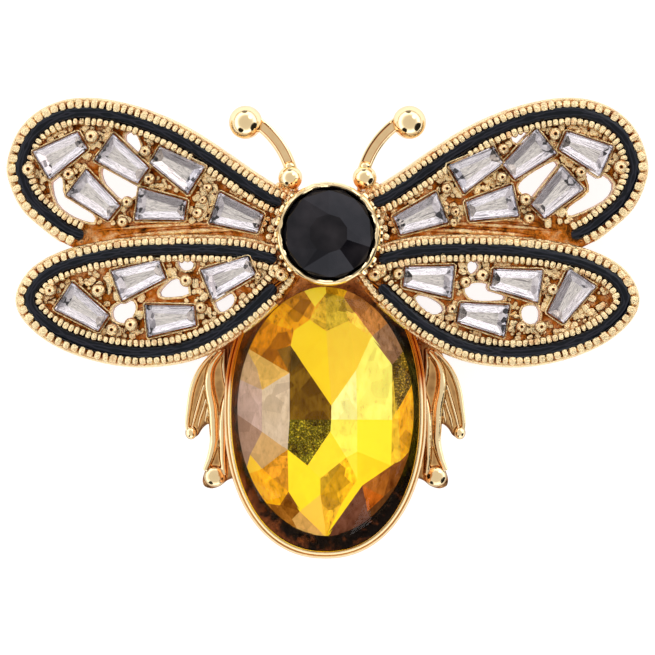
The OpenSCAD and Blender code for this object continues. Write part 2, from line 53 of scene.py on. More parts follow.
# %% [markdown]
# ## Working by hand, in code
# An operator acts on everything that is selected, so each step first picks its piece. A finished piece gets
# its plating and is scaled from millimetres to metres. Its place goes into its mesh, and it rides on the
# only body.

# %% Picking, settling and joining
MM = 0.001
SMOOTH_ANGLE = math.radians(38)


def pick(*objects):
    """Selects these objects alone and makes the first one active."""
    if bpy.context.object and bpy.context.object.mode == "EDIT":
        bpy.ops.object.mode_set(mode="OBJECT")
    bpy.ops.object.select_all(action="DESELECT")
    for obj in objects:
        obj.select_set(True)
    bpy.context.view_layer.objects.active = objects[0]
    return objects[0]


def apply_place(obj):
    """Puts a piece's place, turn and scale into its mesh."""
    pick(obj)
    bpy.ops.object.transform_apply(location=True, rotation=True, scale=True)
    return obj


def apply_modifier(obj, kind, **values):
    """Adds one modifier with these values and applies it."""
    pick(obj)
    modifier = obj.modifiers.new(kind.lower(), kind)
    for key, value in values.items():
        setattr(modifier, key, value)
    bpy.ops.object.modifier_apply(modifier=modifier.name)
    return obj


def named(obj, name):
    """Gives a piece and its mesh one name."""
    obj.name = obj.data.name = name
    return obj


def join(name, parts):
    """Joins parts into one piece."""
    obj = pick(*parts)
    if len(parts) > 1:
        bpy.ops.object.join()
    return named(obj, name)


def copy_of(obj):
    """A copy with its own mesh."""
    twin = obj.copy()
    twin.data = obj.data.copy()
    bpy.context.collection.objects.link(twin)
    return twin


def place_copy(obj, place, turn=(0, 0, 0), size=(1, 1, 1)):
    """A copy at its own place, turned and scaled."""
    twin = copy_of(obj)
    twin.location = place
    twin.rotation_euler = turn
    twin.scale = size
    return twin


def settle(obj, material, node, smooth=SMOOTH_ANGLE):
    """Finishes a piece: material, metres, shading, the frame's solid it hides, and what carries it."""
    if material:
        obj.data.materials.clear()
        obj.data.materials.append(material)
    apply_place(obj)
    obj.scale = (MM, MM, MM)
    apply_place(obj)
    if smooth:
        bpy.ops.object.shade_smooth_by_angle(angle=smooth)
    else:
        bpy.ops.object.shade_flat()
    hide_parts(node)
    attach(obj, ROOT)
    print(obj.name + ":", len(obj.data.polygons), "faces")
    return obj


# %% Small tools for making and editing
def add(operator, **values):
    """Adds something new with its own operator, while nothing else is selected."""
    bpy.ops.object.select_all(action="DESELECT")
    operator(**values)
    return bpy.context.object


def open_mesh(obj):
    """Goes into edit mode with the whole mesh of a piece selected."""
    pick(obj)
    bpy.ops.object.mode_set(mode="EDIT")
    bpy.ops.mesh.select_all(action="SELECT")


def face_outward(obj, weld=0.0):
    """Welds corners that meet, where a distance is given, and turns every face outwards."""
    open_mesh(obj)
    if weld:
        bpy.ops.mesh.remove_doubles(threshold=weld)
    bpy.ops.mesh.normals_make_consistent(inside=False)
    bpy.ops.object.mode_set(mode="OBJECT")
    return obj


def clamp(share):
    """Holds a share between 0 and 1."""
    return min(1.0, max(0.0, share))


def wobble(reach):
    """A small random number to either side of 0."""
    return random.uniform(-reach, reach)


# %% [markdown]
# ## Camera
# The photograph looks straight at the face of the brooch, so the camera hangs right above the table with a
# long lens. Its view is as wide as the photograph is at the brooch's own scale.

# %% Make the camera
VIEW_WIDTH = 45.85 * MM
CAMERA_HEIGHT = 0.5
FACE_HEIGHT = 5 * MM

camera_data = bpy.data.cameras.new("camera")
camera = bpy.data.objects.new("camera", camera_data)
bpy.context.collection.objects.link(camera)
camera.location = (0, 0, CAMERA_HEIGHT)
camera_data.lens = camera_data.sensor_width * (CAMERA_HEIGHT - FACE_HEIGHT) / VIEW_WIDTH
camera_data.clip_start = 0.01
bpy.context.scene.camera = camera
print("camera lens", round(camera_data.lens), "mm")

# %% [markdown]
# ## Wiring
# A finish is a web of nodes, and each node does one thing to a number or a colour. These helpers add a node
# and wire it in one line: an input gets a plain value, or the output of another node.

# %% Nodes and materials
def feed(tree, socket, value):
    """Sets a socket to a value, or links it where another node's output is given."""
    if isinstance(value, bpy.types.NodeSocket):
        tree.links.new(value, socket)
    else:
        socket.default_value = value


def new_node(tree, kind, inputs, **values):
    """Adds a node with its own values and feeds its inputs."""
    node = tree.nodes.new("ShaderNode" + kind)
    for key, value in values.items():
        setattr(node, key, value)
    for key, value in inputs.items():
        feed(tree, node.inputs[key], value)
    return node


def ramp(tree, share, stops):
    """The colour that a colour ramp gives a share."""
    node = new_node(tree, "ValToRGB", {"Fac": share})
    elements = node.color_ramp.elements
    while len(elements) > 1:
        elements.remove(elements[-1])
    for k, (place, colour) in enumerate(stops):
        element = elements[0] if k == 0 else elements.new(place)
        element.position = place
        element.color = (*colour, 1)
    return node.outputs["Color"]


def share_between(tree, value, low, high):
    """0 where a value is low and 1 where it is high."""
    return new_node(tree, "MapRange", {"Value": value, "From Min": low, "From Max": high}).outputs[0]


def mix(tree, share, first, second, blend="MIX"):
    """Two colours mixed by a share."""
    inputs = {"Factor": share, "A": first, "B": second}
    return new_node(tree, "Mix", inputs, data_type="RGBA", blend_type=blend).outputs["Result"]


def calculate(tree, operation, *values, **more):
    """One sum on two or three values."""
    return new_node(tree, "Math", dict(enumerate(values)), operation=operation, **more).outputs[0]


def object_place(tree):
    """The place on the object that a pattern follows, in metres."""
    return new_node(tree, "TexCoord", {}).outputs["Object"]


def noise(tree, place, scale, detail=2.0, roughness=0.5):
    """Noise from 0 to 1."""
    inputs = {"Vector": place, "Scale": scale, "Detail": detail, "Roughness": roughness}
    return new_node(tree, "TexNoise", inputs).outputs["Fac"]


def attribute(tree, name):
    """What a mesh carries at its corners under a name."""
    return new_node(tree, "Attribute", {}, attribute_name=name)


def new_material(name, **inputs):
    """A material with one Principled shader, whose sockets are set by name."""
    material = bpy.data.materials.new(name)
    material.use_nodes = True
    shader = material.node_tree.nodes["Principled BSDF"]
    for key, value in inputs.items():
        shader.inputs[key.replace("_", " ")].default_value = value
    return material, material.node_tree, shader


def add_bump(tree, shader, height, distance):
    """Relief from a height of 0 to 1, with its depth in metres."""
    bump = new_node(tree, "Bump", {"Height": height, "Distance": distance, "Strength": 1.0})
    feed(tree, shader.inputs["Normal"], bump.outputs["Normal"])


# %% [markdown]
# ## Light tent
# Polished gold shows nothing but its surroundings. A jeweller's photographer puts the piece in a white tent
# and hangs black cards in it, which draw the small dark shapes that make gold look like gold. The world is
# that tent: grey right overhead, where the lens looks in, white all round, and dark at its foot. The cards
# are round spots: three are dark, and one is brighter than the tent.

# %% Build the tent from the direction of each ray
TENT_POWER = 1.0
TENT_BANDS = [
    (0.000, (0.95, 0.93, 0.90)),
    (0.470, (0.80, 0.76, 0.70)),
    (0.500, (0.66, 0.58, 0.49)),
    (0.540, (0.80, 0.74, 0.66)),
    (0.580, (1.25, 1.22, 1.18)),
    (0.640, (1.95, 1.94, 1.92)),
    (0.740, (1.90, 1.89, 1.87)),
    (0.800, (1.10, 1.05, 0.99)),
    (0.880, (0.78, 0.72, 0.65)),
    (1.000, (0.74, 0.68, 0.60)),
]
CARDS = [
    (71, -29, 29, 0.02),
    (67, -122, 19, 0.02),
    (80, 95, 16, 0.25),
    (50, 48, 15, 2.6),
]
CARD_EDGE = 0.8
CARD_TINT = (1.0, 0.9, 0.8)

world = bpy.data.worlds.new("light tent")
bpy.context.scene.world = world
world.use_nodes = True
tent = world.node_tree
tent.nodes.clear()
direction = new_node(tent, "TexCoord", {}).outputs["Generated"]
height = new_node(tent, "SeparateXYZ", {0: direction}).outputs["Z"]
light = ramp(tent, share_between(tent, height, -1.0, 1.0), TENT_BANDS)
for from_zenith, azimuth, size, level in CARDS:
    low, turn = math.radians(from_zenith), math.radians(azimuth)
    card = (math.sin(low) * math.cos(turn), math.sin(low) * math.sin(turn), math.cos(low))
    near = new_node(tent, "VectorMath", {0: direction, 1: card}, operation="DOT_PRODUCT").outputs["Value"]
    cover = share_between(tent, near, math.cos(math.radians(size)), math.cos(math.radians(size * CARD_EDGE)))
    light = mix(tent, cover, light, (*[level * part for part in CARD_TINT], 1))
background = new_node(tent, "Background", {"Color": light, "Strength": TENT_POWER})
new_node(tent, "OutputWorld", {"Surface": background.outputs[0]})
bpy.context.scene.view_settings.view_transform = "Standard"
print("tent:", len(CARDS), "cards,", len(TENT_BANDS), "bands")

# %% [markdown]
# ## Floor
# The brooch lies on a plain pale sheet, which nothing on the brooch depends on. It is only a stage.

# %% Lay the sheet
FLOOR_SIZE = 0.8
floor = named(add(bpy.ops.mesh.primitive_plane_add, size=FLOOR_SIZE), "floor")
paper, tree, shader = new_material(
    "paper", Base_Color=(0.35, 0.35, 0.35, 1), Roughness=0.9, Specular_IOR_Level=0.1,
    Emission_Color=(1, 1, 1, 1), Emission_Strength=0.88,
)
floor.data.materials.append(paper)
print("floor:", FLOOR_SIZE, "m wide")

# %% [markdown]
# ## Shared finishes
# Two effects are used by more than one metal. The grain of cast gold is a bump from two sizes of noise. The
# gold's tone is painted shade: pale on the proud parts, deep copper and near black where shade and the
# metal's reflection of itself would fall. Each piece carries this as an attribute called painted_shading.

# %% Build the two groups
def new_group(name, inputs, outputs):
    """A shader group with named sockets: (name, kind, value) in and (name, kind) out."""
    group = bpy.data.node_groups.new(name, "ShaderNodeTree")
    for label, kind, value in inputs:
        group.interface.new_socket(label, in_out="INPUT", socket_type=kind).default_value = value
    for label, kind in outputs:
        group.interface.new_socket(label, in_out="OUTPUT", socket_type=kind)
    return group, group.nodes.new("NodeGroupInput"), group.nodes.new("NodeGroupOutput")


FLOAT, COLOUR = "NodeSocketFloat", "NodeSocketColor"
FINE_SCALE, COARSE_SCALE, CLOUD_SCALE = 9000.0, 2200.0, 1500.0
# Where the painted shade turns the proud tone to deep, and deep to dark.
DEEP_FROM, DARK_FROM, DARK_TO = 0.1, 0.62, 0.95

grain_group, grain_in, grain_out = new_group(
    "cast grain", [("Fine", FLOAT, 1.0), ("Coarse", FLOAT, 0.5)], [("Height", FLOAT), ("Mask", FLOAT)]
)
grain_place = object_place(grain_group)
fine = noise(grain_group, grain_place, FINE_SCALE, 3.0)
coarse = noise(grain_group, grain_place, COARSE_SCALE)
fine_part = calculate(grain_group, "MULTIPLY", fine, grain_in.outputs["Fine"])
grain_height = calculate(grain_group, "MULTIPLY_ADD", coarse, grain_in.outputs["Coarse"], fine_part)
feed(grain_group, grain_out.inputs["Height"], grain_height)
feed(grain_group, grain_out.inputs["Mask"], coarse)

tone_group, tone_in, tone_out = new_group(
    "gold tone",
    [
        ("Proud", COLOUR, (0.98, 0.80, 0.5, 1)), ("Deep", COLOUR, (0.7, 0.3, 0.06, 1)),
        ("Dark", COLOUR, (0.02, 0.01, 0.005, 1)), ("Cloud", FLOAT, 0.3),
    ],
    [("Color", COLOUR)],
)
# The tone is painted shade: depth is each corner's painted_shading, varied at random by cloud noise.
depth = attribute(tone_group, "painted_shading").outputs["Fac"]
cloud = noise(tone_group, object_place(tone_group), CLOUD_SCALE, 3.0)
cloud_part = calculate(tone_group, "SUBTRACT", cloud, 0.5)
cloudiness = tone_in.outputs["Cloud"]
depth_sum = calculate(tone_group, "MULTIPLY_ADD", cloud_part, cloudiness, depth, use_clamp=True)
to_deep = share_between(tone_group, depth_sum, DEEP_FROM, DARK_FROM)
to_dark = share_between(tone_group, depth_sum, DARK_FROM, DARK_TO)
deep_mix = mix(tone_group, to_deep, tone_in.outputs["Proud"], tone_in.outputs["Deep"])
feed(tone_group, tone_out.inputs["Color"], mix(tone_group, to_dark, deep_mix, tone_in.outputs["Dark"]))


def place_group(tree, group, **values):
    """Puts a group into a material with its own values."""
    node = new_node(tree, "Group", {}, node_tree=group)
    for key, value in values.items():
        node.inputs[key].default_value = value
    return node


print("groups:", grain_group.name, "and", tone_group.name)

# %% [markdown]
# ## Gold
# The antennae, the head's setting and the cup are polished, and the wings and the thorax keep the grain
# of the mould. In painted shade the folds of the legs go from pale gold over dark brown to copper, and the
# slope inside the cup is painted almost black with shade. All are the same plating, so one function makes
# them, with more or less grain and with tones of their own: proud, and deep and dark for painted shade.

# %% Make the gold finishes
# Each finish has a proud tone, then a deep and a dark tone that painted shade brings.
PLATED = [(0.98, 0.80, 0.49, 1), (0.62, 0.19, 0.02, 1), (0.035, 0.014, 0.006, 1)]
FOLDED = [(0.98, 0.80, 0.49, 1), (0.17, 0.048, 0.012, 1), (0.80, 0.50, 0.21, 1)]
# The slope in the cup is all painted shade, so even its proud tone is dark.
SHADOWED_TONES = [(0.62, 0.24, 0.07, 1), (0.20, 0.055, 0.016, 1), (0.010, 0.007, 0.006, 1)]
LEAST_ROUGH, MOST_ROUGH = 0.7, 1.4


def gold(name, roughness, grain_depth, fine, coarse, cloud, tones=PLATED):
    """Plated gold with its grain's depth in metres."""
    material, tree, shader = new_material(name, Metallic=1.0)
    proud, deep, dark = tones
    tone = place_group(tree, tone_group, Proud=proud, Deep=deep, Dark=dark, Cloud=cloud)
    feed(tree, shader.inputs["Base Color"], tone.outputs["Color"])
    grain = place_group(tree, grain_group, Fine=fine, Coarse=coarse)
    ends = {"To Min": roughness * LEAST_ROUGH, "To Max": roughness * MOST_ROUGH}
    rough = new_node(tree, "MapRange", {"Value": grain.outputs["Mask"], **ends})
    feed(tree, shader.inputs["Roughness"], rough.outputs[0])
    add_bump(tree, shader, grain.outputs["Height"], grain_depth)
    return material


polished_gold = gold("polished gold", 0.07, 0.00001, 0.2, 1.0, 0.2)
grained_gold = gold("grained gold", 0.12, 0.00016, 0.5, 1.0, 1.4)
folded_gold = gold("folded gold", 0.09, 0.00002, 0.2, 1.0, 0.3, FOLDED)
pin_gold = gold("pin gold", 0.2, 0.00001, 1.0, 0.4, 0.1)
shadowed_gold = gold("shadowed gold", 0.1, 0.00011, 0.4, 1.0, 0.8, SHADOWED_TONES)
print("gold finishes: 5")

# %% [markdown]
# ## Enamel
# Hard black enamel stands a little proud of its channel, like a cord of black glass. It is almost black,
# with a clear gloss, and it wavers slightly along its length. A faint sheen is painted into its colour on
# its flanks, placed by how low they lie.

# %% Make the enamel
# GLINT and SHEEN are painted sheen lines in the enamel's base colour.
BLACK, GLINT, SHEEN = (0.001, 0.002, 0.004), (0.02, 0.02, 0.03), (0.04, 0.04, 0.055)
SHEEN_STOPS = [(0.16, BLACK), (0.20, GLINT), (0.24, BLACK), (0.40, BLACK), (0.50, SHEEN), (0.60, BLACK)]
WANDER = 0.3
enamel_black, tree, shader = new_material(
    "black enamel", Base_Color=(*BLACK, 1), Roughness=0.08, Specular_IOR_Level=0.3,
    Specular_Tint=(0.72, 0.82, 1.0, 1),
)
waver = noise(tree, object_place(tree), 700.0)
wandering = calculate(tree, "MULTIPLY_ADD", waver, WANDER, attribute(tree, "painted_shading").outputs["Fac"])
feed(tree, shader.inputs["Base Color"], ramp(tree, wandering, SHEEN_STOPS))
add_bump(tree, shader, waver, 0.00006)
print("enamel:", len(SHEEN_STOPS), "stops of sheen")

# %% [markdown]
# ## Stones and foil
# The clear stones are glass with a mirror foil behind them, so light goes in, is thrown from facet to facet
# and comes out again. Painted reflections on the foil add streaks along the stone, and dark and bright
# patches towards its wide end and on its end facets. A weak glow of the foil stands in for the rest of a cut
# stone's brilliance.

# %% Clear glass and silver foil
# Painted reflections on the silver foil: streaks along the stone, and dark and bright patches at its ends.
STREAK_REFLECTION_STOPS = [
    (0.34, (0.36, 0.35, 0.37)), (0.39, (0.98, 0.96, 0.99)), (0.455, (1.0, 1.0, 1.0)),
    (0.475, (0.22, 0.21, 0.23)), (0.495, (0.98, 0.96, 0.99)), (0.54, (1.0, 1.0, 1.0)),
    (0.565, (0.38, 0.37, 0.40)), (0.59, (1.0, 1.0, 1.0)), (0.66, (0.66, 0.64, 0.68)),
]
END_REFLECTION_STOPS = [
    (0.22, (0.03, 0.03, 0.04)), (0.34, (0.60, 0.59, 0.62)), (0.50, (1.0, 0.99, 1.0)),
    (0.85, (0.55, 0.53, 0.55)),
]
STREAK_STRETCH = (0.22, 4.6, 1.0)
END_REFLECTION_FROM = 0.68
SILVER_GLOW, AMBER_GLOW = 0.07, 0.22


def polish(tree, shader, pure, tinted, scale, depth):
    """Faint veils of tint in a glass, and the shallow waves that polishing leaves on it."""
    place = object_place(tree)
    veil = noise(tree, place, scale, 3.0)
    feed(tree, shader.inputs["Base Color"], ramp(tree, veil, [(0.35, tinted), (0.6, pure)]))
    add_bump(tree, shader, noise(tree, place, 3 * scale), depth)


def lay_foil(tree, shader, colour, glow):
    """Gives foil its colour, and a weak glow of the same colour."""
    feed(tree, shader.inputs["Base Color"], colour)
    feed(tree, shader.inputs["Emission Color"], colour)
    shader.inputs["Emission Strength"].default_value = glow


clear_glass, tree, shader = new_material("clear glass", Roughness=0.0, IOR=1.5, Transmission_Weight=1.0)
polish(tree, shader, (1.0, 1.0, 1.0), (0.985, 0.98, 0.988), 900.0, 0.000002)

silver_foil, tree, shader = new_material("silver foil", Metallic=0.8, Roughness=0.18)
tone = attribute(tree, "tone")
on_stone = new_node(tree, "UVMap", {}, uv_map="length").outputs["UV"]
long_way = new_node(tree, "Mapping", {"Vector": on_stone, "Scale": STREAK_STRETCH}).outputs["Vector"]
streak_reflection_tone = ramp(tree, noise(tree, long_way, 1.7), STREAK_REFLECTION_STOPS)
end_cells = new_node(tree, "TexVoronoi", {"Vector": on_stone, "Scale": 3.4, "Randomness": 1.0})
end_reflection_tone = ramp(tree, end_cells.outputs["Color"], END_REFLECTION_STOPS)
pattern = mix(tree, share_between(tree, tone.outputs["Alpha"], END_REFLECTION_FROM, 1.0), streak_reflection_tone, end_reflection_tone)
lay_foil(tree, shader, mix(tree, 1.0, tone.outputs["Color"], pattern, "MULTIPLY"), SILVER_GLOW)
print("clear stones:", clear_glass.name, "and", silver_foil.name)

# %% [markdown]
# The amber stone has yellow foil, whose facets each carry a tone of their own: a painted reflection. How
# much of the brushing, the shards and the painted glints shows on a facet is that tone's alpha.

# %% Amber glass and its foil
BRUSH_STOPS = [
    (0.34, (0.30, 0.20, 0.12)), (0.43, (0.78, 0.72, 0.64)), (0.52, (1.0, 1.0, 1.0)),
    (0.66, (1.3, 1.35, 1.5)),
]
SHARD_STOPS = [(0.15, (0.50, 0.42, 0.35)), (0.45, (1.0, 1.0, 1.0)), (0.85, (1.25, 1.3, 1.3))]
# Painted glints for the dark olive facets.
FOIL_GLINT_STOPS = [
    (0.40, (0.55, 0.5, 0.45)), (0.56, (1.0, 1.0, 1.0)), (0.64, (2.6, 2.3, 1.8)), (0.72, (4.0, 3.6, 2.6)),
]
BRUSH_TURN, BRUSH_STRETCH = (0, 0, 0.5), (1.0, 0.45, 1.0)
FOIL_GLINT_FROM = 0.8

amber_glass, tree, shader = new_material(
    "amber glass", Roughness=0.0, IOR=1.06, Transmission_Weight=1.0, Coat_Weight=0.25, Coat_Roughness=0.0
)
polish(tree, shader, (1.0, 0.99, 0.92), (1.0, 0.975, 0.82), 500.0, 0.000003)

amber_foil, tree, shader = new_material("amber foil", Metallic=0.0, Roughness=0.5, Specular_IOR_Level=0.0)
tone = attribute(tree, "tone")
place = object_place(tree)
brushed = new_node(tree, "Mapping", {"Vector": place, "Rotation": BRUSH_TURN, "Scale": BRUSH_STRETCH})
brush_tone = ramp(tree, noise(tree, brushed.outputs["Vector"], 2600.0, 5.0, 0.75), BRUSH_STOPS)
shards = new_node(tree, "TexVoronoi", {"Vector": place, "Scale": 900.0})
etched = mix(tree, 1.0, brush_tone, ramp(tree, shards.outputs["Color"], SHARD_STOPS), "MULTIPLY")
foil_glint_tone = ramp(tree, noise(tree, place, 8000.0, 1.0), FOIL_GLINT_STOPS)
foil_glinting = share_between(tree, tone.outputs["Alpha"], FOIL_GLINT_FROM, 1.0)
worked = mix(tree, foil_glinting, etched, foil_glint_tone, "MULTIPLY")
facet_colour = mix(tree, tone.outputs["Alpha"], tone.outputs["Color"], worked, "MULTIPLY")
lay_foil(tree, shader, facet_colour, AMBER_GLOW)
print("amber stone:", amber_glass.name, "and", amber_foil.name)

# %% [markdown]
# The head stone is black all through, with a little smoke in its polish.

# %% Black glass
SMOKE_STOPS = [(0.4, (0.004, 0.004, 0.006)), (0.65, (0.02, 0.018, 0.022))]
black_glass, tree, shader = new_material(
    "black glass", Base_Color=(0.006, 0.006, 0.009, 1), Roughness=0.04, Specular_IOR_Level=0.25,
    Specular_Tint=(0.86, 0.87, 1.0, 1),
)
feed(tree, shader.inputs["Base Color"], ramp(tree, noise(tree, object_place(tree), 500.0), SMOKE_STOPS))
print("materials:", len(bpy.data.materials))

# %% [markdown]
# ## The wings' outline
# All that is on a wing follows its outline, so the outline comes first. Its corners are shares of the
# wing's own reach, and a smooth curve runs through them. Each wing falls back towards its tip, and the
# lower wings lie a step in front of the upper ones, so a wing is modelled flat and then laid in its place.
# Small things are placed on a grid of 0.07 mm, which is one dot of the photograph.

# %% Sizes and outlines of the wings
GRID = 0.07
HALF_SPAN = 22.65
WING_HEIGHT = {UPPER: 10.6, LOWER: 8.55}
WING_SLOPE = math.radians(6.5)
WING_LINE_Y = 5.595
WING_TOP = {UPPER: 5.5, LOWER: 6.1}
HEAD = (0.07, 6.545)
HEAD_RIM_R = 3.55
OUTLINE = {
    UPPER: [
        (0.172, 0.428), (0.240, 0.522), (0.332, 0.659), (0.425, 0.786), (0.518, 0.883), (0.626, 0.960),
        (0.734, 0.997), (0.827, 0.980), (0.910, 0.898), (0.969, 0.758), (1.000, 0.560), (0.989, 0.409),
        (0.951, 0.250), (0.886, 0.122), (0.821, 0.026), (0.734, -0.026), (0.502, -0.013), (0.270, -0.013),
        (0.085, 0.053), (0.085, 0.316),
    ],
    LOWER: [
        (0.178, 0.041), (0.286, 0.098), (0.440, 0.112), (0.611, 0.093), (0.765, 0.025), (0.873, -0.078),
        (0.941, -0.221), (0.972, -0.418), (0.944, -0.607), (0.858, -0.795), (0.734, -0.926), (0.595, -0.984),
        (0.456, -0.951), (0.348, -0.848), (0.255, -0.697), (0.178, -0.525), (0.119, -0.361), (0.085, -0.221),
        (0.100, -0.033),
    ],
}
OUTLINE_STEPS = 6
WINGS = [(side, wing) for wing in (UPPER, LOWER) for side in (LEFT, RIGHT)]
print("wings:", 2 * HALF_SPAN, "mm from tip to tip")

# %% Smooth lines
def curve_place(a, b, c, d, t):
    """A place on the smooth curve from b to c, with a before them and d after them."""
    return tuple(
        0.5 * (
            2 * b[k] + (c[k] - a[k]) * t + (2 * a[k] - 5 * b[k] + 4 * c[k] - d[k]) * t * t
            + (3 * b[k] - a[k] - 3 * c[k] + d[k]) * t ** 3
        )
        for k in range(len(b))
    )


def smooth_loop(points, steps):
    """A smooth closed curve through points, with steps from each point to the next."""
    count = len(points)
    loop = []
    for i in range(count):
        near = [points[(i + k) % count] for k in (-1, 0, 1, 2)]
        loop += [curve_place(*near, j / steps) for j in range(steps)]
    return loop


def smooth_run(points, steps):
    """A smooth open line through points."""
    ends = [points[0]] + list(points) + [points[-1]]
    run = []
    for near in zip(ends, ends[1:], ends[2:], ends[3:]):
        run += [curve_place(*near, j / steps) for j in range(steps)]
    return run + [tuple(points[-1])]


def smooth_values(values, steps):
    """Numbers between numbers, for a line that smooth_run makes."""
    return [v[0] for v in smooth_run([(value,) for value in values], steps)]


def inset_line(line, side, inset, closed=True):
    """A line moved into the wing by an inset."""
    moved = []
    count = len(line)
    for i, (x, y) in enumerate(line):
        before = line[i - 1] if closed or i else line[0]
        after = line[(i + 1) % count] if closed or i < count - 1 else line[-1]
        dx, dy = after[0] - before[0], after[1] - before[1]
        size = math.hypot(dx, dy)
        moved.append((x + side * inset * dy / size, y - side * inset * dx / size))
    return moved


def winding(loop):
    """1 for a loop that runs clockwise and -1 for one that runs the other way."""
    area = sum(a[0] * b[1] - b[0] * a[1] for a, b in zip(loop, loop[1:] + loop[:1]))
    return -1 if area > 0 else 1


def grown(loop, by):
    """A closed line drawn outwards."""
    return inset_line(loop, winding(loop), -by)


def spaced(line, step):
    """Places along an open line at even steps, with the direction there: (x, y, angle)."""
    places = []
    left = 0.0
    for (x0, y0), (x1, y1) in zip(line, line[1:]):
        length = math.hypot(x1 - x0, y1 - y0)
        angle = math.atan2(y1 - y0, x1 - x0)
        while left <= length:
            t = left / length
            places.append((x0 + t * (x1 - x0), y0 + t * (y1 - y0), angle))
            left += step((x0, y0)) if callable(step) else step
        left -= length
    return places


# %% Places on a wing
def spot(wing, x, y):
    """A place on a wing from its shares, in millimetres on the flat wing."""
    return (x * HALF_SPAN / math.cos(WING_SLOPE), y * WING_HEIGHT[wing])


def wing_outline(side, wing):
    """A wing's outline; it runs clockwise on the right and the other way on the left."""
    return smooth_loop([spot(wing, side * x, y) for x, y in OUTLINE[wing]], OUTLINE_STEPS)


def lay_on_wing(obj, side, wing):
    """Turns a flat piece to its wing's slope and lays it at the wing's height."""
    apply_place(obj)
    obj.rotation_euler = (0, side * WING_SLOPE, 0)
    obj.location = (0, WING_LINE_Y, WING_TOP[wing])
    return apply_place(obj)


# %% [markdown]
# The border is an open horseshoe. On an upper wing it runs from the head's rim over the tip and ends above
# the lower wing; on a lower wing it starts and ends beside the body.

# %% Where the border runs
BORDER_FOOT = 0.35
OPEN_FOOT = 2.2
OPEN_TO = 0.735
ROOT_X = 3.4


def border_runs_at(wing, x, y, margin):
    """Whether a wing's border runs at this place on the flat wing."""
    if wing == LOWER:
        return abs(x) > ROOT_X + margin
    head_away = math.hypot(x - HEAD[0], y - (HEAD[1] - WING_LINE_Y))
    beside_lower = abs(x) < OPEN_TO * HALF_SPAN + margin and y < OPEN_FOOT + margin
    return head_away > HEAD_RIM_R + margin and y > BORDER_FOOT + margin and not beside_lower


def border_line(side, wing, inset, margin):
    """The open line of the border at an inset, evenly dense."""
    line = inset_line(wing_outline(side, wing), side, inset)
    keep = [border_runs_at(wing, x, y, margin) for x, y in line]
    count = len(line)
    longest = []
    for start in range(count):
        if keep[start] and not keep[start - 1]:
            run = []
            k = start
            while keep[k % count] and len(run) < count:
                run.append(line[k % count])
                k += 1
            longest = max(longest, run, key=len)
    return longest


for wing in (UPPER, LOWER):
    print(wing, "border:", len(border_line(RIGHT, wing, 0, 0)), "points")

# %% [markdown]
# ## Sweeping a section along a line
# A moulding is one section drawn along a line. Blender's curve does that with a second curve as its bevel
# object: the path stays flat, so the section never twists, and the result is turned into a mesh.

# %% The sweep
WELD = 0.0005
ROD_ROUNDNESS = 4


def redraw(curve, places):
    """Redraws a curve as one line of straight steps through (x, y, z) places."""
    curve.data.splines.clear()
    line = curve.data.splines.new("POLY")
    line.points.add(len(places) - 1)
    for point, place in zip(line.points, places):
        point.co = (*place, 1)
    return line


def to_mesh(curve, name):
    """Turns a curve into a mesh."""
    pick(curve)
    bpy.ops.object.convert(target="MESH")
    return named(bpy.context.object, name)


def sweep(name, line, section, closed=False, ends=()):
    """Draws a section (across, up) along a flat line of (x, y) places; ends are radii for its end steps."""
    cutter = add(bpy.ops.curve.primitive_bezier_circle_add)
    redraw(cutter, [(across, up, 0) for across, up in section]).use_cyclic_u = True
    path = add(bpy.ops.curve.primitive_bezier_circle_add)
    path.data.dimensions = "2D"
    path.data.fill_mode = "NONE"
    run = redraw(path, [(x, y, 0) for x, y in line])
    for k, radius in enumerate(ends):
        run.points[k].radius = radius
        run.points[-1 - k].radius = radius
    run.use_cyclic_u = closed
    path.data.bevel_mode = "OBJECT"
    path.data.bevel_object = cutter
    path.data.use_fill_caps = not closed
    swept = to_mesh(path, name)
    bpy.data.objects.remove(cutter)
    return face_outward(swept, WELD)


def two_sided(half, *middle):
    """A section from its left half: that half, what is in the middle, and its mirror image."""
    return half + list(middle) + [(-across, up) for across, up in reversed(half)]


# %% Sheets, slabs and rods
def polygon_sheet(name, points):
    """A flat sheet: a filled circle whose corners are drawn to their places."""
    sheet = add(bpy.ops.mesh.primitive_circle_add, vertices=len(points), fill_type="NGON")
    for vertex, point in zip(sheet.data.vertices, points):
        vertex.co = (*point, 0)[:3]
    return named(sheet, name)


def raise_sheet(sheet, low, high):
    """Draws a flat sheet up into a slab between two heights."""
    sheet.location.z = low
    apply_place(sheet)
    open_mesh(sheet)
    bpy.ops.mesh.extrude_region_move(TRANSFORM_OT_translate={"value": (0, 0, high - low)})
    return face_outward(sheet)


def tube(name, line, radii):
    """A round rod along (x, y, z) places, thicker or thinner at each."""
    rod = add(bpy.ops.curve.primitive_nurbs_path_add)
    run = redraw(rod, line)
    for point, radius in zip(run.points, radii):
        point.radius = radius
    rod.data.bevel_depth = 1
    rod.data.bevel_resolution = ROD_ROUNDNESS
    rod.data.use_fill_caps = True
    return to_mesh(rod, name)


# %% [markdown]
# ## Wing floors
# Each wing is a plate that is pierced between the stones, so light falls through. The plate is the outline
# drawn up into a slab, and the gaps are cut out of it with a Boolean modifier, as a saw would.

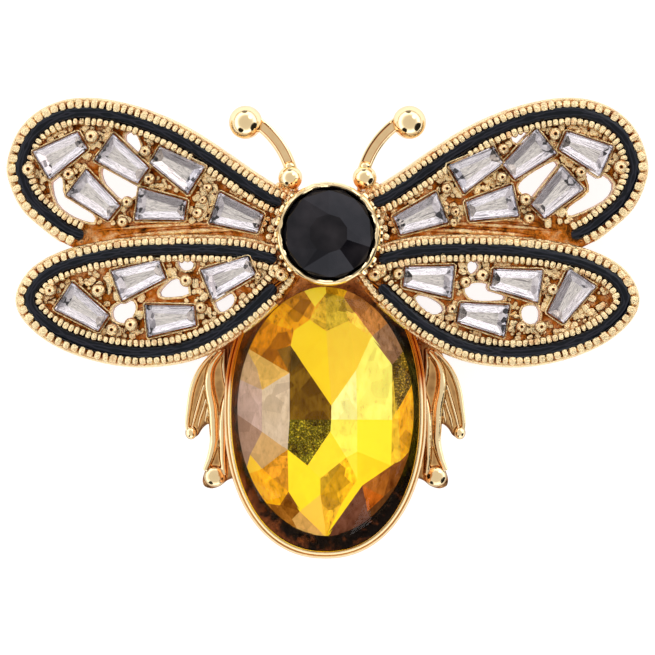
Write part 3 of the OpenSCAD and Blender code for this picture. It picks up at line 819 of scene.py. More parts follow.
# %% Cut the wing floors
WING_T = 1.5
FLOOR_T = 0.75
GAP_STEPS = 3
GAP_MORE = 0.1
GAPS = [
    (UPPER, [(-0.855, 0.455), (-0.830, 0.455), (-0.821, 0.335), (-0.748, 0.245), (-0.728, 0.178),
             (-0.790, 0.215), (-0.842, 0.305)]),
    (UPPER, [(-0.700, 0.520), (-0.668, 0.508), (-0.592, 0.405), (-0.598, 0.355), (-0.642, 0.330),
             (-0.690, 0.430)]),
    (UPPER, [(-0.626, 0.745), (-0.602, 0.750), (-0.586, 0.672), (-0.598, 0.640), (-0.620, 0.690)]),
    (LOWER, [(-0.663, -0.500), (-0.614, -0.443), (-0.601, -0.500), (-0.623, -0.598), (-0.660, -0.590)]),
    (LOWER, [(-0.515, -0.352), (-0.471, -0.262), (-0.434, -0.369), (-0.509, -0.393)]),
    (LOWER, [(-0.348, -0.402), (-0.298, -0.393), (-0.301, -0.467), (-0.335, -0.516)]),
    (LOWER, [(-0.462, -0.115), (-0.425, -0.115), (-0.425, -0.164), (-0.450, -0.172)]),
    (UPPER, [(0.808, 0.501), (0.845, 0.488), (0.886, 0.422), (0.861, 0.323), (0.762, 0.224),
             (0.756, 0.264), (0.818, 0.369)]),
    (UPPER, [(0.700, 0.560), (0.709, 0.527), (0.648, 0.349), (0.617, 0.356), (0.598, 0.402),
             (0.626, 0.468)]),
    (UPPER, [(0.580, 0.758), (0.598, 0.778), (0.626, 0.758), (0.607, 0.705), (0.580, 0.712)]),
    (LOWER, [(0.277, -0.410), (0.314, -0.418), (0.351, -0.475), (0.354, -0.525), (0.317, -0.525)]),
    (LOWER, [(0.431, -0.344), (0.456, -0.303), (0.499, -0.311), (0.543, -0.393), (0.540, -0.418),
             (0.456, -0.418)]),
    (LOWER, [(0.440, -0.139), (0.459, -0.123), (0.465, -0.164), (0.447, -0.205)]),
    (LOWER, [(0.611, -0.500), (0.651, -0.492), (0.654, -0.590), (0.632, -0.615), (0.611, -0.582)]),
]
EDGE_FINISH = 0.05
LINING_SECTION = two_sided([(-0.11, -1.45), (-0.11, -0.50), (-0.07, -0.38)], (0.0, -0.34))
LINING_OUT = 0.10


def gap_lines(side, wing):
    """The outlines of the gaps on one wing, opened a little."""
    lines = []
    for owner, corners in GAPS:
        if owner == wing and corners[0][0] * side > 0:
            hole = smooth_loop([spot(wing, x, y) for x, y in corners], GAP_STEPS)
            lines.append(grown(hole, GAP_MORE))
    return lines


def linings(side, wing):
    """A raised lining round each gap."""
    lines = [grown(line, LINING_OUT) for line in gap_lines(side, wing)]
    return [sweep("lining", line, LINING_SECTION, closed=True) for line in lines]


def wing_floor(side, wing):
    """One wing's pierced plate, still flat."""
    plate = polygon_sheet(f"plate_{wing}", inset_line(wing_outline(side, wing), side, EDGE_FINISH))
    raise_sheet(plate, -WING_T, -WING_T + FLOOR_T)
    for line in gap_lines(side, wing):
        saw = polygon_sheet("saw", line)
        raise_sheet(saw, -2 * WING_T, WING_T)
        apply_modifier(plate, "BOOLEAN", operation="DIFFERENCE", object=saw, solver="EXACT")
        bpy.data.objects.remove(saw)
    return plate


# %% [markdown]
# ## Border
# From outside to inside the border is a smooth rounded wall, a bed for the outer milgrain, the enamel's
# channel, and a bed for the inner milgrain. It is one moulding, so one section draws it.

# %% The border's moulding
WALL_SECTION = [
    (0.00, -1.42), (0.00, -0.72), (0.02, -0.50), (0.07, -0.36), (0.14, -0.30), (0.22, -0.31), (0.38, -0.36),
    (0.47, -0.40), (0.62, -0.40), (0.64, -0.64), (1.50, -0.64), (1.53, -0.36), (1.62, -0.28), (1.82, -0.28),
    (1.90, -0.36), (1.92, -0.80), (1.92, -1.30), (0.06, -1.48),
]
OUTER_ROW = 0.49
INNER_ROW = 1.71
ENAMEL_ROW = 1.07
ENAMEL_SECTION = two_sided(
    [(-0.42, -0.60), (-0.42, -0.28), (-0.39, -0.17), (-0.30, -0.08), (-0.16, -0.02)], (0.0, 0.0)
)
END_ROUNDING = (0.35, 0.78, 0.95)
CORD_STEP = 0.14


def border_moulding(side, wing):
    """The border of one wing; lines run the other way on the left, so the section is turned over there."""
    section = [(side * across, up) for across, up in WALL_SECTION]
    return sweep(f"border_{wing}", border_line(side, wing, 0, 0), section)


# %% [markdown]
# ## Milgrain
# Milgrain is a row of tiny beads that a knurled wheel rolls into an edge. The outer beads get longer and
# lie further apart towards the wing's tip, as on the real casting. One bead is modelled, with only two
# dozen faces, and copied along each row, and no two copies are quite alike.

# %% Roll the milgrain
OUTER_BEAD = (0.255, 0.315, 0.30)
INNER_BEAD = (0.245, 0.33, 0.32)
OUTER_PITCH = (0.44, 0.74)
INNER_PITCH = 0.43
OUTER_BEAD_Z = -0.22
INNER_BEAD_Z = -0.12
BEAD_ROUNDING = 0.92
GROWN_BEAD = 0.85
BEAD_LIFT, BEAD_LEAN, BEAD_TURN = 0.04, 0.1, 0.16
BEAD_SIZES = (0.8, 1.14)
ROW_MARGIN = 0.1
BEAD_ROOM = 0.12
random.seed(4)


def write_painted_shading(obj, rule):
    """Fills the painted_shading attribute, 0 on proud metal and 1 in full painted shade, by a rule on each
    corner's place.
    """
    layer = obj.data.attributes.new("painted_shading", "FLOAT", "POINT")
    for k, vertex in enumerate(obj.data.vertices):
        layer.data[k].value = rule(vertex.co)
    return obj


def falling(high, low):
    """A rule that grows from 0 at one height to 1 at a lower one."""
    return lambda co: clamp((high - co.z) / (high - low))


def pillow(name, rounding, foot):
    """A small round-cornered lump one unit in reach: a cube divided once and drawn towards a sphere."""
    lump = add(bpy.ops.mesh.primitive_cube_add, size=2)
    open_mesh(lump)
    bpy.ops.mesh.subdivide(number_cuts=1)
    bpy.ops.transform.tosphere(value=rounding)
    bpy.ops.object.mode_set(mode="OBJECT")
    reach = max(vertex.co.x for vertex in lump.data.vertices)
    lump.scale = (1 / reach, 1 / reach, 1 / reach)
    # Its foot gets painted shade, from none at height 0.3 to full at the given foot.
    return write_painted_shading(named(apply_place(lump), name), falling(0.3, foot))


bead = pillow("bead", BEAD_ROUNDING, -0.5)
print("bead:", len(bead.data.polygons), "faces")


def bead_row(line, size, height, pitch):
    """Beads along a line; size is half their length along it, half their width and half their height."""
    row = []
    for x, y, angle in spaced(line, pitch):
        longer = (pitch((x, y)) / OUTER_PITCH[0]) ** GROWN_BEAD if callable(pitch) else 1
        own = (size[0] * longer, size[1] * math.sqrt(longer), size[2])
        row.append(place_copy(
            bead,
            (x, y, height + wobble(BEAD_LIFT)),
            turn=(wobble(BEAD_LEAN), 0, angle + wobble(BEAD_TURN)),
            size=[part * random.uniform(*BEAD_SIZES) for part in own],
        ))
    return row


def outer_pitch(place):
    """The outer pitch grows from the head to the tip."""
    share = min(1, abs(place[0]) / HALF_SPAN) ** 3
    return OUTER_PITCH[0] + share * (OUTER_PITCH[1] - OUTER_PITCH[0])


def milgrain(side, wing):
    """The two rows of beads; the inner row makes room for the stones."""
    outer = bead_row(border_line(side, wing, OUTER_ROW, ROW_MARGIN), OUTER_BEAD, OUTER_BEAD_Z, outer_pitch)
    inner = bead_row(border_line(side, wing, INNER_ROW, ROW_MARGIN), INNER_BEAD, INNER_BEAD_Z, INNER_PITCH)
    for twin in list(inner):
        if on_a_stone(side, wing, twin.location.x, twin.location.y, BEAD_ROOM):
            inner.remove(twin)
            bpy.data.objects.remove(twin)
    return outer + inner


# %% [markdown]
# ## Stone seats and ball claws
# Every baguette sits in a thin box of metal, and balls of metal at its corners are pushed over its edge.
# The seat is modelled once, round the stone's own outline, and copied to each stone's place, which comes
# from the frame. A polished ball mirrors the dark lens in its very top, so that corner gets a painted
# reflection of the lens, near black, and the ball's foot gets painted shade.

# %% Where the baguettes lie
BAGUETTE_L, BAGUETTE_WIDE, BAGUETTE_NARROW = 3.4, 2.25, 1.35
BAGUETTES = sorted(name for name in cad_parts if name.startswith("baguette_"))
STEP_LEVEL = 0.8
TABLE_LEVEL = 0.02


def flat_place(node):
    """A baguette's side, wing, middle and turn on its flat wing, from its table's corners in the frame."""
    corners = {tuple(round(c / MM, 4) for c in v.co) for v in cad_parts[node].data.vertices}
    side = RIGHT if sum(c[0] for c in corners) > 0 else LEFT
    sine, cosine = math.sin(side * WING_SLOPE), math.cos(side * WING_SLOPE)
    flat = []
    for x, y, z in corners:
        z -= WING_TOP[UPPER]
        flat.append((x * cosine - z * sine, y - WING_LINE_Y, x * sine + z * cosine))
    top = max(p[2] for p in flat)
    wing = LOWER if top > STEP_LEVEL else UPPER
    if wing == LOWER:
        step = WING_TOP[LOWER] - WING_TOP[UPPER]
        flat = [(x + step * sine, y, z - step * cosine) for x, y, z in flat]
        top -= step * cosine
    table = sorted(p[:2] for p in flat if p[2] > top - TABLE_LEVEL)
    pairs = sorted((math.dist(a, b), a, b) for k, a in enumerate(table) for b in table[k + 1:])
    narrow, wide = [[(a[k] + b[k]) / 2 for k in (0, 1)] for _, a, b in pairs[:2]]
    middle = ((narrow[0] + wide[0]) / 2, (narrow[1] + wide[1]) / 2)
    return side, wing, middle, math.atan2(wide[1] - narrow[1], wide[0] - narrow[0])


PLACES = {node: flat_place(node) for node in BAGUETTES}
print("first baguette:", PLACES[BAGUETTES[0]])


def stones_on(side, wing):
    """The middle and the turn of each baguette on a wing."""
    own = [place for place in PLACES.values() if place[:2] == (side, wing)]
    return [(middle, turn) for _, _, middle, turn in own]


def baguette_corners(outset):
    """The four corners of a baguette's outline, wide end at +x, grown by an outset."""
    taper = (BAGUETTE_WIDE - BAGUETTE_NARROW) / 2 / BAGUETTE_L
    slant = outset * math.sqrt(1 + taper * taper)
    reach = BAGUETTE_L / 2 + outset
    narrow = BAGUETTE_NARROW / 2 - taper * outset + slant
    wide = BAGUETTE_WIDE / 2 + taper * outset + slant
    return [(-reach, -narrow), (reach, -wide), (reach, wide), (-reach, narrow)]


def cut_corners(corners, cut):
    """Each corner of a loop replaced by two points beside it."""
    loop = []
    for k, (x, y) in enumerate(corners):
        for ox, oy in (corners[k - 1], corners[(k + 1) % len(corners)]):
            size = math.hypot(ox - x, oy - y)
            loop.append((x + cut * (ox - x) / size, y + cut * (oy - y) / size))
    return loop


# %% Make one seat and one claw, and set them round the stones
SEAT_TOP = 0.0
SEAT_SECTION = two_sided([(-0.07, -1.2), (-0.07, -0.09), (-0.045, -0.03)], (0.0, 0.0))
SEAT_OUT, SEAT_CORNER = 0.15, 0.14
CLAW_R = 0.45
CLAW_LIFT = 0.02
CLAW_FOOT = 0.75
LENS_REFLECTION_FROM = 0.99 * CLAW_R
LENS_REFLECTION_SHADE = 2.2
CLAWS = [
    (UPPER, -0.731, 0.738, 1.15), (UPPER, -0.926, 0.521, 1.15), (UPPER, -0.802, 0.488, 1.05),
    (UPPER, -0.564, 0.639, 0.95), (UPPER, -0.552, 0.455, 0.95), (UPPER, -0.620, 0.303, 0.95),
    (UPPER, -0.635, 0.171, 0.90), (UPPER, -0.372, 0.396, 0.80), (UPPER, -0.385, 0.316, 0.70),
    (UPPER, -0.403, 0.231, 0.90), (LOWER, -0.709, -0.352, 1.15), (LOWER, -0.666, -0.672, 1.05),
    (LOWER, -0.607, -0.631, 1.15), (LOWER, -0.437, -0.270, 1.05), (LOWER, -0.391, -0.492, 0.95),
    (LOWER, -0.215, -0.230, 0.60), (LOWER, -0.858, -0.352, 1.05), (LOWER, -0.141, -0.221, 1.15),
    (UPPER, 0.544, 0.654, 0.95), (UPPER, 0.704, 0.754, 1.05), (UPPER, 0.908, 0.537, 1.20),
    (UPPER, 0.785, 0.501, 0.95), (UPPER, 0.539, 0.466, 0.95), (UPPER, 0.613, 0.319, 1.05),
    (UPPER, 0.624, 0.195, 0.95), (UPPER, 0.368, 0.390, 0.90), (UPPER, 0.395, 0.237, 0.80),
    (UPPER, 0.390, 0.165, 0.70), (LOWER, 0.219, -0.217, 0.95), (LOWER, 0.478, -0.225, 1.05),
    (LOWER, 0.426, -0.283, 0.95), (LOWER, 0.384, -0.502, 0.90), (LOWER, 0.696, -0.341, 0.95),
    (LOWER, 0.599, -0.648, 0.90), (LOWER, 0.660, -0.648, 1.05), (LOWER, 0.145, -0.221, 1.15),
]

seat = sweep("seat", cut_corners(baguette_corners(SEAT_OUT), SEAT_CORNER), SEAT_SECTION, closed=True)

claw = add(bpy.ops.mesh.primitive_uv_sphere_add, segments=12, ring_count=9, radius=CLAW_R)
bpy.ops.object.mode_set(mode="EDIT")
bpy.ops.mesh.select_all(action="DESELECT")
bpy.ops.object.mode_set(mode="OBJECT")
for face in claw.data.polygons:
    face.select = face.center.z < -0.5 * CLAW_R
bpy.ops.object.mode_set(mode="EDIT")
bpy.ops.mesh.select_mode(type="FACE")
bpy.ops.mesh.extrude_region_move(TRANSFORM_OT_translate={"value": (0, 0, -CLAW_FOOT)})
bpy.ops.mesh.select_mode(type="VERT")
bpy.ops.object.mode_set(mode="OBJECT")
claw_foot_shade = falling(0.6 * CLAW_R, 0.0)
# Painted reflection of the lens at the claw's top, and painted shade at its foot.
write_painted_shading(claw, lambda co: LENS_REFLECTION_SHADE if co.z > LENS_REFLECTION_FROM else claw_foot_shade(co))
print("seat:", len(seat.data.polygons), "faces; claw:", len(claw.data.polygons), "faces")


def seats(side, wing):
    """Copies of the seat at every baguette of a wing."""
    stones = stones_on(side, wing)
    return [place_copy(seat, (*middle, SEAT_TOP), turn=(0, 0, turn)) for middle, turn in stones]


def claws(side, wing):
    """Copies of the claw at the places in the table."""
    made = []
    for owner, x, y, size in CLAWS:
        if owner == wing and x * side > 0:
            made.append(place_copy(claw, (*spot(wing, x, y), CLAW_LIFT), size=(size, size, size)))
    return made


# %% [markdown]
# ## Granules
# Between the seats the casting is rough: small drops of metal fill the corners. They are scattered at
# random with a fixed seed, kept off the stones, out of the gaps and inside the border.

# %% Scatter the granules
GRANULES = {UPPER: 170, LOWER: 125}
GRANULE_R = (0.13, 0.34)
GRANULE_FROM = 2.0
GRANULE_Z, GRANULE_LIFT = -0.70, 0.25
BORDER_ROOM, STONE_ROOM, GAP_ROOM = 2.0, 0.3, 0.34
LUMP_Z, LUMP_HEIGHT = -0.45, 0.34
MIDDLE_TO_LINE = 11.425
ROOT_LUMPS = [
    (UPPER, 54, 223, 4), (UPPER, 49, 225, 4), (UPPER, 45, 221, 4), (UPPER, 41, 219, 4), (UPPER, 37, 217, 4),
    (UPPER, 50, 218, 3), (UPPER, 46, 214, 3), (UPPER, 33, 222, 3), (LOWER, 39, 130, 4), (LOWER, 35, 135, 3),
    (UPPER, 57, 182, 5), (UPPER, 64, 187, 4), (UPPER, 53, 189, 5), (UPPER, 48, 196, 4), (UPPER, 44, 204, 4),
    (UPPER, 41, 212, 4), (UPPER, 67, 180, 4), (UPPER, 60, 192, 3), (UPPER, 50, 180, 4), (UPPER, 45, 186, 3),
    (LOWER, 59, 174, 4), (LOWER, 53, 171, 4), (LOWER, 47, 175, 4), (LOWER, 44, 168, 4), (LOWER, 49, 164, 3),
    (LOWER, 43, 160, 4), (LOWER, 41, 153, 4), (LOWER, 46, 154, 3), (LOWER, 42, 146, 4), (LOWER, 48, 147, 3),
    (LOWER, 38, 149, 3), (LOWER, 54, 149, 3), (LOWER, 59, 143, 4), (LOWER, 53, 139, 4), (LOWER, 64, 148, 3),
    (LOWER, 49, 115, 4), (LOWER, 46, 120, 4), (LOWER, 43, 124, 4), (LOWER, 40, 128, 4), (LOWER, 37, 132, 4),
]

granule = pillow("granule", 0.9, -0.05)


def inside(loop, x, y):
    """Whether a place is inside a closed loop."""
    hit = False
    for k, (x1, y1) in enumerate(loop):
        x0, y0 = loop[k - 1]
        if (y0 > y) != (y1 > y) and x < x0 + (y - y0) * (x1 - x0) / (y1 - y0):
            hit = not hit
    return hit


def on_a_stone(side, wing, x, y, margin):
    """Whether a place is on a baguette grown by a margin."""
    for (sx, sy), turn in stones_on(side, wing):
        along = (x - sx) * math.cos(turn) + (y - sy) * math.sin(turn)
        across = (y - sy) * math.cos(turn) - (x - sx) * math.sin(turn)
        if inside(baguette_corners(margin), along, across):
            return True
    return False


def root_lumps(side, wing):
    """Lumps of metal beside the head, from the table: how far out and up, and how big, on the grid."""
    made = []
    for owner, out, up, size in ROOT_LUMPS:
        if owner == wing:
            reach = size * GRID
            made.append(place_copy(
                granule,
                (side * out * GRID / math.cos(WING_SLOPE), up * GRID - MIDDLE_TO_LINE, LUMP_Z),
                size=(reach, reach * random.uniform(0.8, 1.2), LUMP_HEIGHT),
                turn=(0, 0, random.uniform(0, math.pi)),
            ))
    return made


def granules(side, wing):
    """Drops of metal, scattered wherever the floor is bare."""
    room = inset_line(wing_outline(side, wing), side, BORDER_ROOM)
    gaps = [grown(line, GAP_ROOM) for line in gap_lines(side, wing)]
    made = []
    while len(made) < GRANULES[wing]:
        x = side * random.uniform(GRANULE_FROM, HALF_SPAN)
        y = random.uniform(-WING_HEIGHT[wing], WING_HEIGHT[wing])
        if not inside(room, x, y) or on_a_stone(side, wing, x, y, STONE_ROOM):
            continue
        if any(inside(gap, x, y) for gap in gaps):
            continue
        size = random.uniform(*GRANULE_R)
        made.append(place_copy(
            granule,
            (x, y, GRANULE_Z + random.uniform(0, GRANULE_LIFT)),
            size=(size, size * random.uniform(0.6, 1.6), size * 0.9),
            turn=(0, 0, random.uniform(0, math.pi)),
        ))
    return made


# %% [markdown]
# ## One wing's metal
# All that is cast in one on a wing is joined into one piece. Each part has written how much painted shade
# its corners get into the painted_shading attribute before it is joined, and the whole is then laid on the
# wing's slope. The beads lie close, so of the outer bed only the inner edge gets painted shade.

# %% Build the four wings
# Painted shade: how much the bed's edge, the channel and the floor get, and where it falls on seats, linings
# and ridges.
BED_LEVEL, CHANNEL_LEVELS, LEVEL_WIDTH = -0.40, (-0.64, -0.80), 0.02
BED_SHADE, CHANNEL_SHADE, FLOOR_SHADE = 0.76, 1.0, 0.60
SEAT_FALL, LINING_FALL, RIDGE_FALL = (-0.05, -0.5), (-0.38, -0.7), (-0.46, -0.80)
STRIP_RIDGES = [(2.22, 9.6, 15.0, 0.16), (1.72, 6.9, 16.4, 0.13), (1.30, 4.6, 15.0, 0.15)]
RIDGE_POINTS = 9
RIDGE_Z = -0.74


def border_shade(co):
    """Painted shade on the bed's inner edge, the channel and the border's inner foot; its walls are proud."""
    if abs(co.z - BED_LEVEL) < LEVEL_WIDTH:
        return BED_SHADE
    return CHANNEL_SHADE if any(abs(co.z - level) < LEVEL_WIDTH for level in CHANNEL_LEVELS) else 0.0


def strip_ridges(side):
    """Long smooth ridges on the bare strip of an upper wing, beside the lower wing."""
    shares = [k / (RIDGE_POINTS - 1) for k in range(RIDGE_POINTS)]
    made = []
    for y, inner, outer, thickness in STRIP_RIDGES:
        reach = outer - inner
        line = [(side * (inner + share * reach), y - 0.5 * share * share, RIDGE_Z) for share in shares]
        radii = [thickness * (0.5 + math.sin(math.pi * share)) for share in shares]
        made.append(tube("ridge", smooth_run(line, 2), smooth_values(radii, 2)))
    return made


def wing_metal(side, wing):
    """One wing's metal: its pierced plate, border, milgrain, seats, claws and granules."""
    parts = [write_painted_shading(wing_floor(side, wing), lambda co: FLOOR_SHADE)]
    parts.append(write_painted_shading(border_moulding(side, wing), border_shade))
    parts += [write_painted_shading(apply_place(part), falling(*SEAT_FALL)) for part in seats(side, wing)]
    parts += [write_painted_shading(part, falling(*LINING_FALL)) for part in linings(side, wing)]
    loose = milgrain(side, wing) + claws(side, wing) + granules(side, wing) + root_lumps(side, wing)
    parts += [apply_place(part) for part in loose]
    if wing == UPPER:
        parts += [write_painted_shading(part, falling(*RIDGE_FALL)) for part in strip_ridges(side)]
    metal = join(f"wing_{wing}_{SIDE_NAMES[side]}", parts)
    return settle(lay_on_wing(metal, side, wing), grained_gold, "casting")


for side, wing in WINGS:
    wing_metal(side, wing)
for template in (bead, seat, claw, granule):
    bpy.data.objects.remove(template)

# %% [markdown]
# ## Enamel
# The enamel is a cord of black glass in its channel. It is the same sweep with a domed section, and the
# ends of the line get thinner, so the cord's ends are round.

# %% Fill the channels
ENAMEL_MARGIN = 0.15
ENAMEL_FALL = (0.0, -0.3)


def enamel(side, wing):
    """The glass in one wing's channel."""
    node = f"enamel_{wing}_{SIDE_NAMES[side]}"
    line = [place[:2] for place in spaced(border_line(side, wing, ENAMEL_ROW, ENAMEL_MARGIN), CORD_STEP)]
    cord = sweep(f"{node}_glass", line, ENAMEL_SECTION, ends=END_ROUNDING)
    # How low the flanks lie places the painted sheen.
    write_painted_shading(cord, falling(*ENAMEL_FALL))
    return settle(lay_on_wing(cord, side, wing), enamel_black, node)


for side, wing in WINGS:
    enamel(side, wing)

# %% [markdown]
# ## Lofting
# The cup, the head's setting and the stones are rings of corners, one above the other. The first ring is a
# circle primitive whose corners are drawn to their places. Each next ring is extruded from the one before
# and drawn to its own places, and the two ends are filled.

# %% The loft
def nearest(places, place):
    """The number of the place that is nearest."""
    away = [sum((a - b) ** 2 for a, b in zip(other, place)) for other in places]
    return away.index(min(away))


def loft(name, rings):
    """Rings of (x, y, z) with the same number of corners, skinned from the first to the last and closed."""
    shell = polygon_sheet(name, rings[0])
    for before, ring in zip(rings, rings[1:]):
        bpy.ops.object.mode_set(mode="EDIT")
        bpy.ops.mesh.extrude_region_move()
        bpy.ops.object.mode_set(mode="OBJECT")
        for vertex in shell.data.vertices:
            if vertex.select:
                vertex.co = ring[nearest(before, vertex.co)]
    return face_outward(shell)


def oval(a, b, z, count=96, bulge=2.0, middle=(0, 0), turn=0.0):
    """A ring of corners on an oval; a bulge over 2 fills its corners out."""
    ring = []
    for k in range(count):
        angle = 2 * math.pi * (k + turn) / count
        c, s = math.cos(angle), math.sin(angle)
        x = a * math.copysign(abs(c) ** (2 / bulge), c)
        y = b * math.copysign(abs(s) ** (2 / bulge), s)
        ring.append((middle[0] + x, middle[1] + y, z))
    return ring


def give_material(obj, material, rule):
    """Gives a material to the faces that pass a rule; the first material goes to all."""
    obj.data.materials.append(material)
    index = len(obj.data.materials) - 1
    for face in obj.data.polygons:
        if rule(face.center, face.normal):
            face.material_index = index


# %% [markdown]
# ## Baguettes
# A baguette is step cut: a flat table, two steps of crown, and a pavilion of steps that ends in a keel,
# which gives the long streaks of light and dark. The crown is glass and the pavilion carries the foil, in
# one closed mesh. Each foil facet gets a painted reflection tone, and a map runs along the stone for the
# foil's painted streaks of reflection; every copy moves it, so that each stone differs a little.

# %% Cut one baguette
BAGUETTE_STEPS = [
    (-0.58, -0.32), (-0.34, -0.245), (-0.15, -0.185), (-0.03, -0.14), (0.0, 0.0), (0.0, 0.28), (-0.05, 0.38),
    (-0.12, 0.44),
]


def linear(tone):
    """A tone from 0 to 255, as a colour chart gives it, as the shader's linear colour."""
    return tuple(((c / 255 + 0.055) / 1.055) ** 2.4 for c in tone)


# The tone of each kind of foil facet is a painted reflection.
SILVER_REFLECTIONS = {
    "keel": (255, 254, 255), "side": (254, 250, 255), "edge": (244, 240, 248),
    "wide": (240, 238, 246), "narrow": (218, 208, 200),
}
END_KINDS = ("wide", "narrow")
# How far towards the wide end the painted patches of reflection take over from the streaks.
END_REFLECTION_SHARE = 0.95
FOIL_TOP = -0.01
STONE_LIFT = 0.02


def half_width(x):
    """Half the stone's width at a place along it."""
    return (BAGUETTE_WIDE + BAGUETTE_NARROW) / 4 + x * (BAGUETTE_WIDE - BAGUETTE_NARROW) / 2 / BAGUETTE_L


rings = [[(x, y, z) for x, y in baguette_corners(inset)] for inset, z in BAGUETTE_STEPS]
stone = loft("baguette", rings)
stone.data.materials.append(clear_glass)
give_material(stone, silver_foil, lambda middle, normal: middle.z < FOIL_TOP)
length_map = stone.data.uv_layers.new(name="length")
for loop in stone.data.loops:
    x, y, _ = stone.data.vertices[loop.vertex_index].co
    length_map.data[loop.index].uv = (x, y / half_width(x))
print("baguette:", len(stone.data.polygons), "facets")


def silver_kind(face):
    """Which painted reflection tone a facet of the back has: the ends differ from the long sides."""
    if abs(face.normal.x) > 0.2:
        return "wide" if face.normal.x > 0 else "narrow"
    return "keel" if face.center.z < -0.3 else "side" if face.center.z < -0.15 else "edge"


def tint_back(obj):
    """Gives each facet its painted reflection tone and moves the painted streaks, so every stone differs a
    little.
    """
    layer = obj.data.color_attributes.new("tone", "FLOAT_COLOR", "CORNER")
    along, across = random.uniform(0, 30), random.uniform(0, 30)
    lines = obj.data.uv_layers["length"].data
    for face in obj.data.polygons:
        kind = silver_kind(face)
        shade = random.uniform(0.9, 1.0)
        colour = [c * shade for c in linear(SILVER_REFLECTIONS[kind])]
        for k in face.loop_indices:
            along_stone = obj.data.vertices[obj.data.loops[k].vertex_index].co.x / BAGUETTE_L
            end_reflection = 1.0 if kind in END_KINDS else max(0.0, END_REFLECTION_SHARE * (0.5 + along_stone))
            layer.data[k].color = (*colour, end_reflection)
            lines[k].uv = (lines[k].uv[0] + along, lines[k].uv[1] + across)


# %% Copy the baguette to its places
for node, (side, wing, (x, y), turn) in PLACES.items():
    twin = named(place_copy(stone, (x, y, STONE_LIFT), turn=(0, 0, turn)), f"{node}_cut")
    tint_back(twin)
    settle(lay_on_wing(twin, side, wing), None, node, smooth=None)
bpy.data.objects.remove(stone)

# %% [markdown]
# ## Cup
# The cup is a deep oval dish with a thick polished rim. Inside the rim a slope runs down to the stone,
# painted dark with shade. Its rings come from the outside bottom over the rim and down to the bed under the
# stone. The rim mirrors the wings beside it, so it is painted copper there, as shade and reflection.

# %% Raise the cup
ABDOMEN = (-0.15, -5.855)
CUP_HALF = (7.12, 10.34)
CUP_BULGE = 2.2
STONE_HALF = (6.5, 9.0)
CUP_PROFILE = [
    (1.93, 0.02), (1.60, 0.10), (1.20, 0.31), (0.85, 0.65), (0.57, 1.13), (0.32, 1.80), (0.14, 2.60),
    (0.04, 3.40), (0.00, 4.10), (0.00, 4.60), (0.02, 4.76), (0.06, 4.87), (0.12, 4.93), (0.17, 4.92),
    (0.21, 4.86), (0.25, 4.94), (0.30, 5.06), (0.37, 5.13), (0.44, 5.13), (0.50, 5.08), (0.55, 4.98),
    (0.58, 4.86),
]
BED_PROFILE = [
    (0.30, 4.44), (0.34, 4.34), (0.36, 3.60), (0.90, 3.10), (2.00, 2.40), (4.00, 1.50), (6.00, 1.10),
]


def oval_rings(half, profile, bulge):
    """Rings of an oval from a profile of (inset, height)."""
    return [oval(half[0] - inset, half[1] - inset, z, bulge=bulge, middle=ABDOMEN) for inset, z in profile]


cup = loft("cup", oval_rings(CUP_HALF, CUP_PROFILE, CUP_BULGE) + oval_rings(STONE_HALF, BED_PROFILE, 2.0))
print("cup:", len(cup.data.polygons), "faces")

# %% Paint shade into the cup's depths
# Painted shade in the cup: at its outer wall's foot, its groove and its inner lip, on the rim beside the
# wings, and on the slope, lighter beside the head and darker to the east and lower down.
WALL_INSET, GROOVE_INSET, LIP_INSET, SLOPE_INSET = 0.19, 0.23, 0.53, 0.56
WALL_SHADE, GROOVE_SHADE, LIP_SHADE, WING_SHADE = 0.5, 0.34, 0.6, 0.66
WALL_FALL = (5.0, 4.72)
GROOVE_TOP = 4.9
WING_SHADE_FROM, WING_SHADE_OVER = 0.1, 0.14
SLOPE_DARK, HEAD_LIGHT, EAST_DARK, SUNK_DARK = 0.92, 0.64, 0.24, 0.4
SLOPE_TOP = 4.86
HEAD_FROM, HEAD_OVER = 0.35, 0.65


def in_cup(co, inset):
    """Whether a place is inside the cup's outline, drawn in by an inset."""
    x = abs(co.x - ABDOMEN[0]) / (CUP_HALF[0] - inset)
    y = abs(co.y - ABDOMEN[1]) / (CUP_HALF[1] - inset)
    return x ** CUP_BULGE + y ** CUP_BULGE < 1.0


def cup_shade(co):
    """Painted shade: copper where the rim mirrors the wings; the slope copper at the head and black lower
    right.
    """
    north = (co.y - ABDOMEN[1]) / CUP_HALF[1]
    east = (co.x - ABDOMEN[0]) / CUP_HALF[0]
    if in_cup(co, SLOPE_INSET):
        beside_head = max(0.0, north - HEAD_FROM) / HEAD_OVER
        sunk = SLOPE_TOP - co.z
        return clamp(SLOPE_DARK - HEAD_LIGHT * beside_head + EAST_DARK * east + SUNK_DARK * sunk)
    copper = WING_SHADE * clamp((north - WING_SHADE_FROM) / WING_SHADE_OVER)
    if not in_cup(co, WALL_INSET):
        return max(copper, WALL_SHADE * falling(*WALL_FALL)(co))
    if in_cup(co, LIP_INSET):
        return LIP_SHADE
    return max(copper, GROOVE_SHADE if co.z < GROOVE_TOP and not in_cup(co, GROOVE_INSET) else 0.0)


write_painted_shading(cup, cup_shade)
cup.data.materials.append(polished_gold)
give_material(cup, shadowed_gold, lambda middle, normal: in_cup(middle, SLOPE_INSET) and normal.z > 0)
settle(cup, None, "casting")
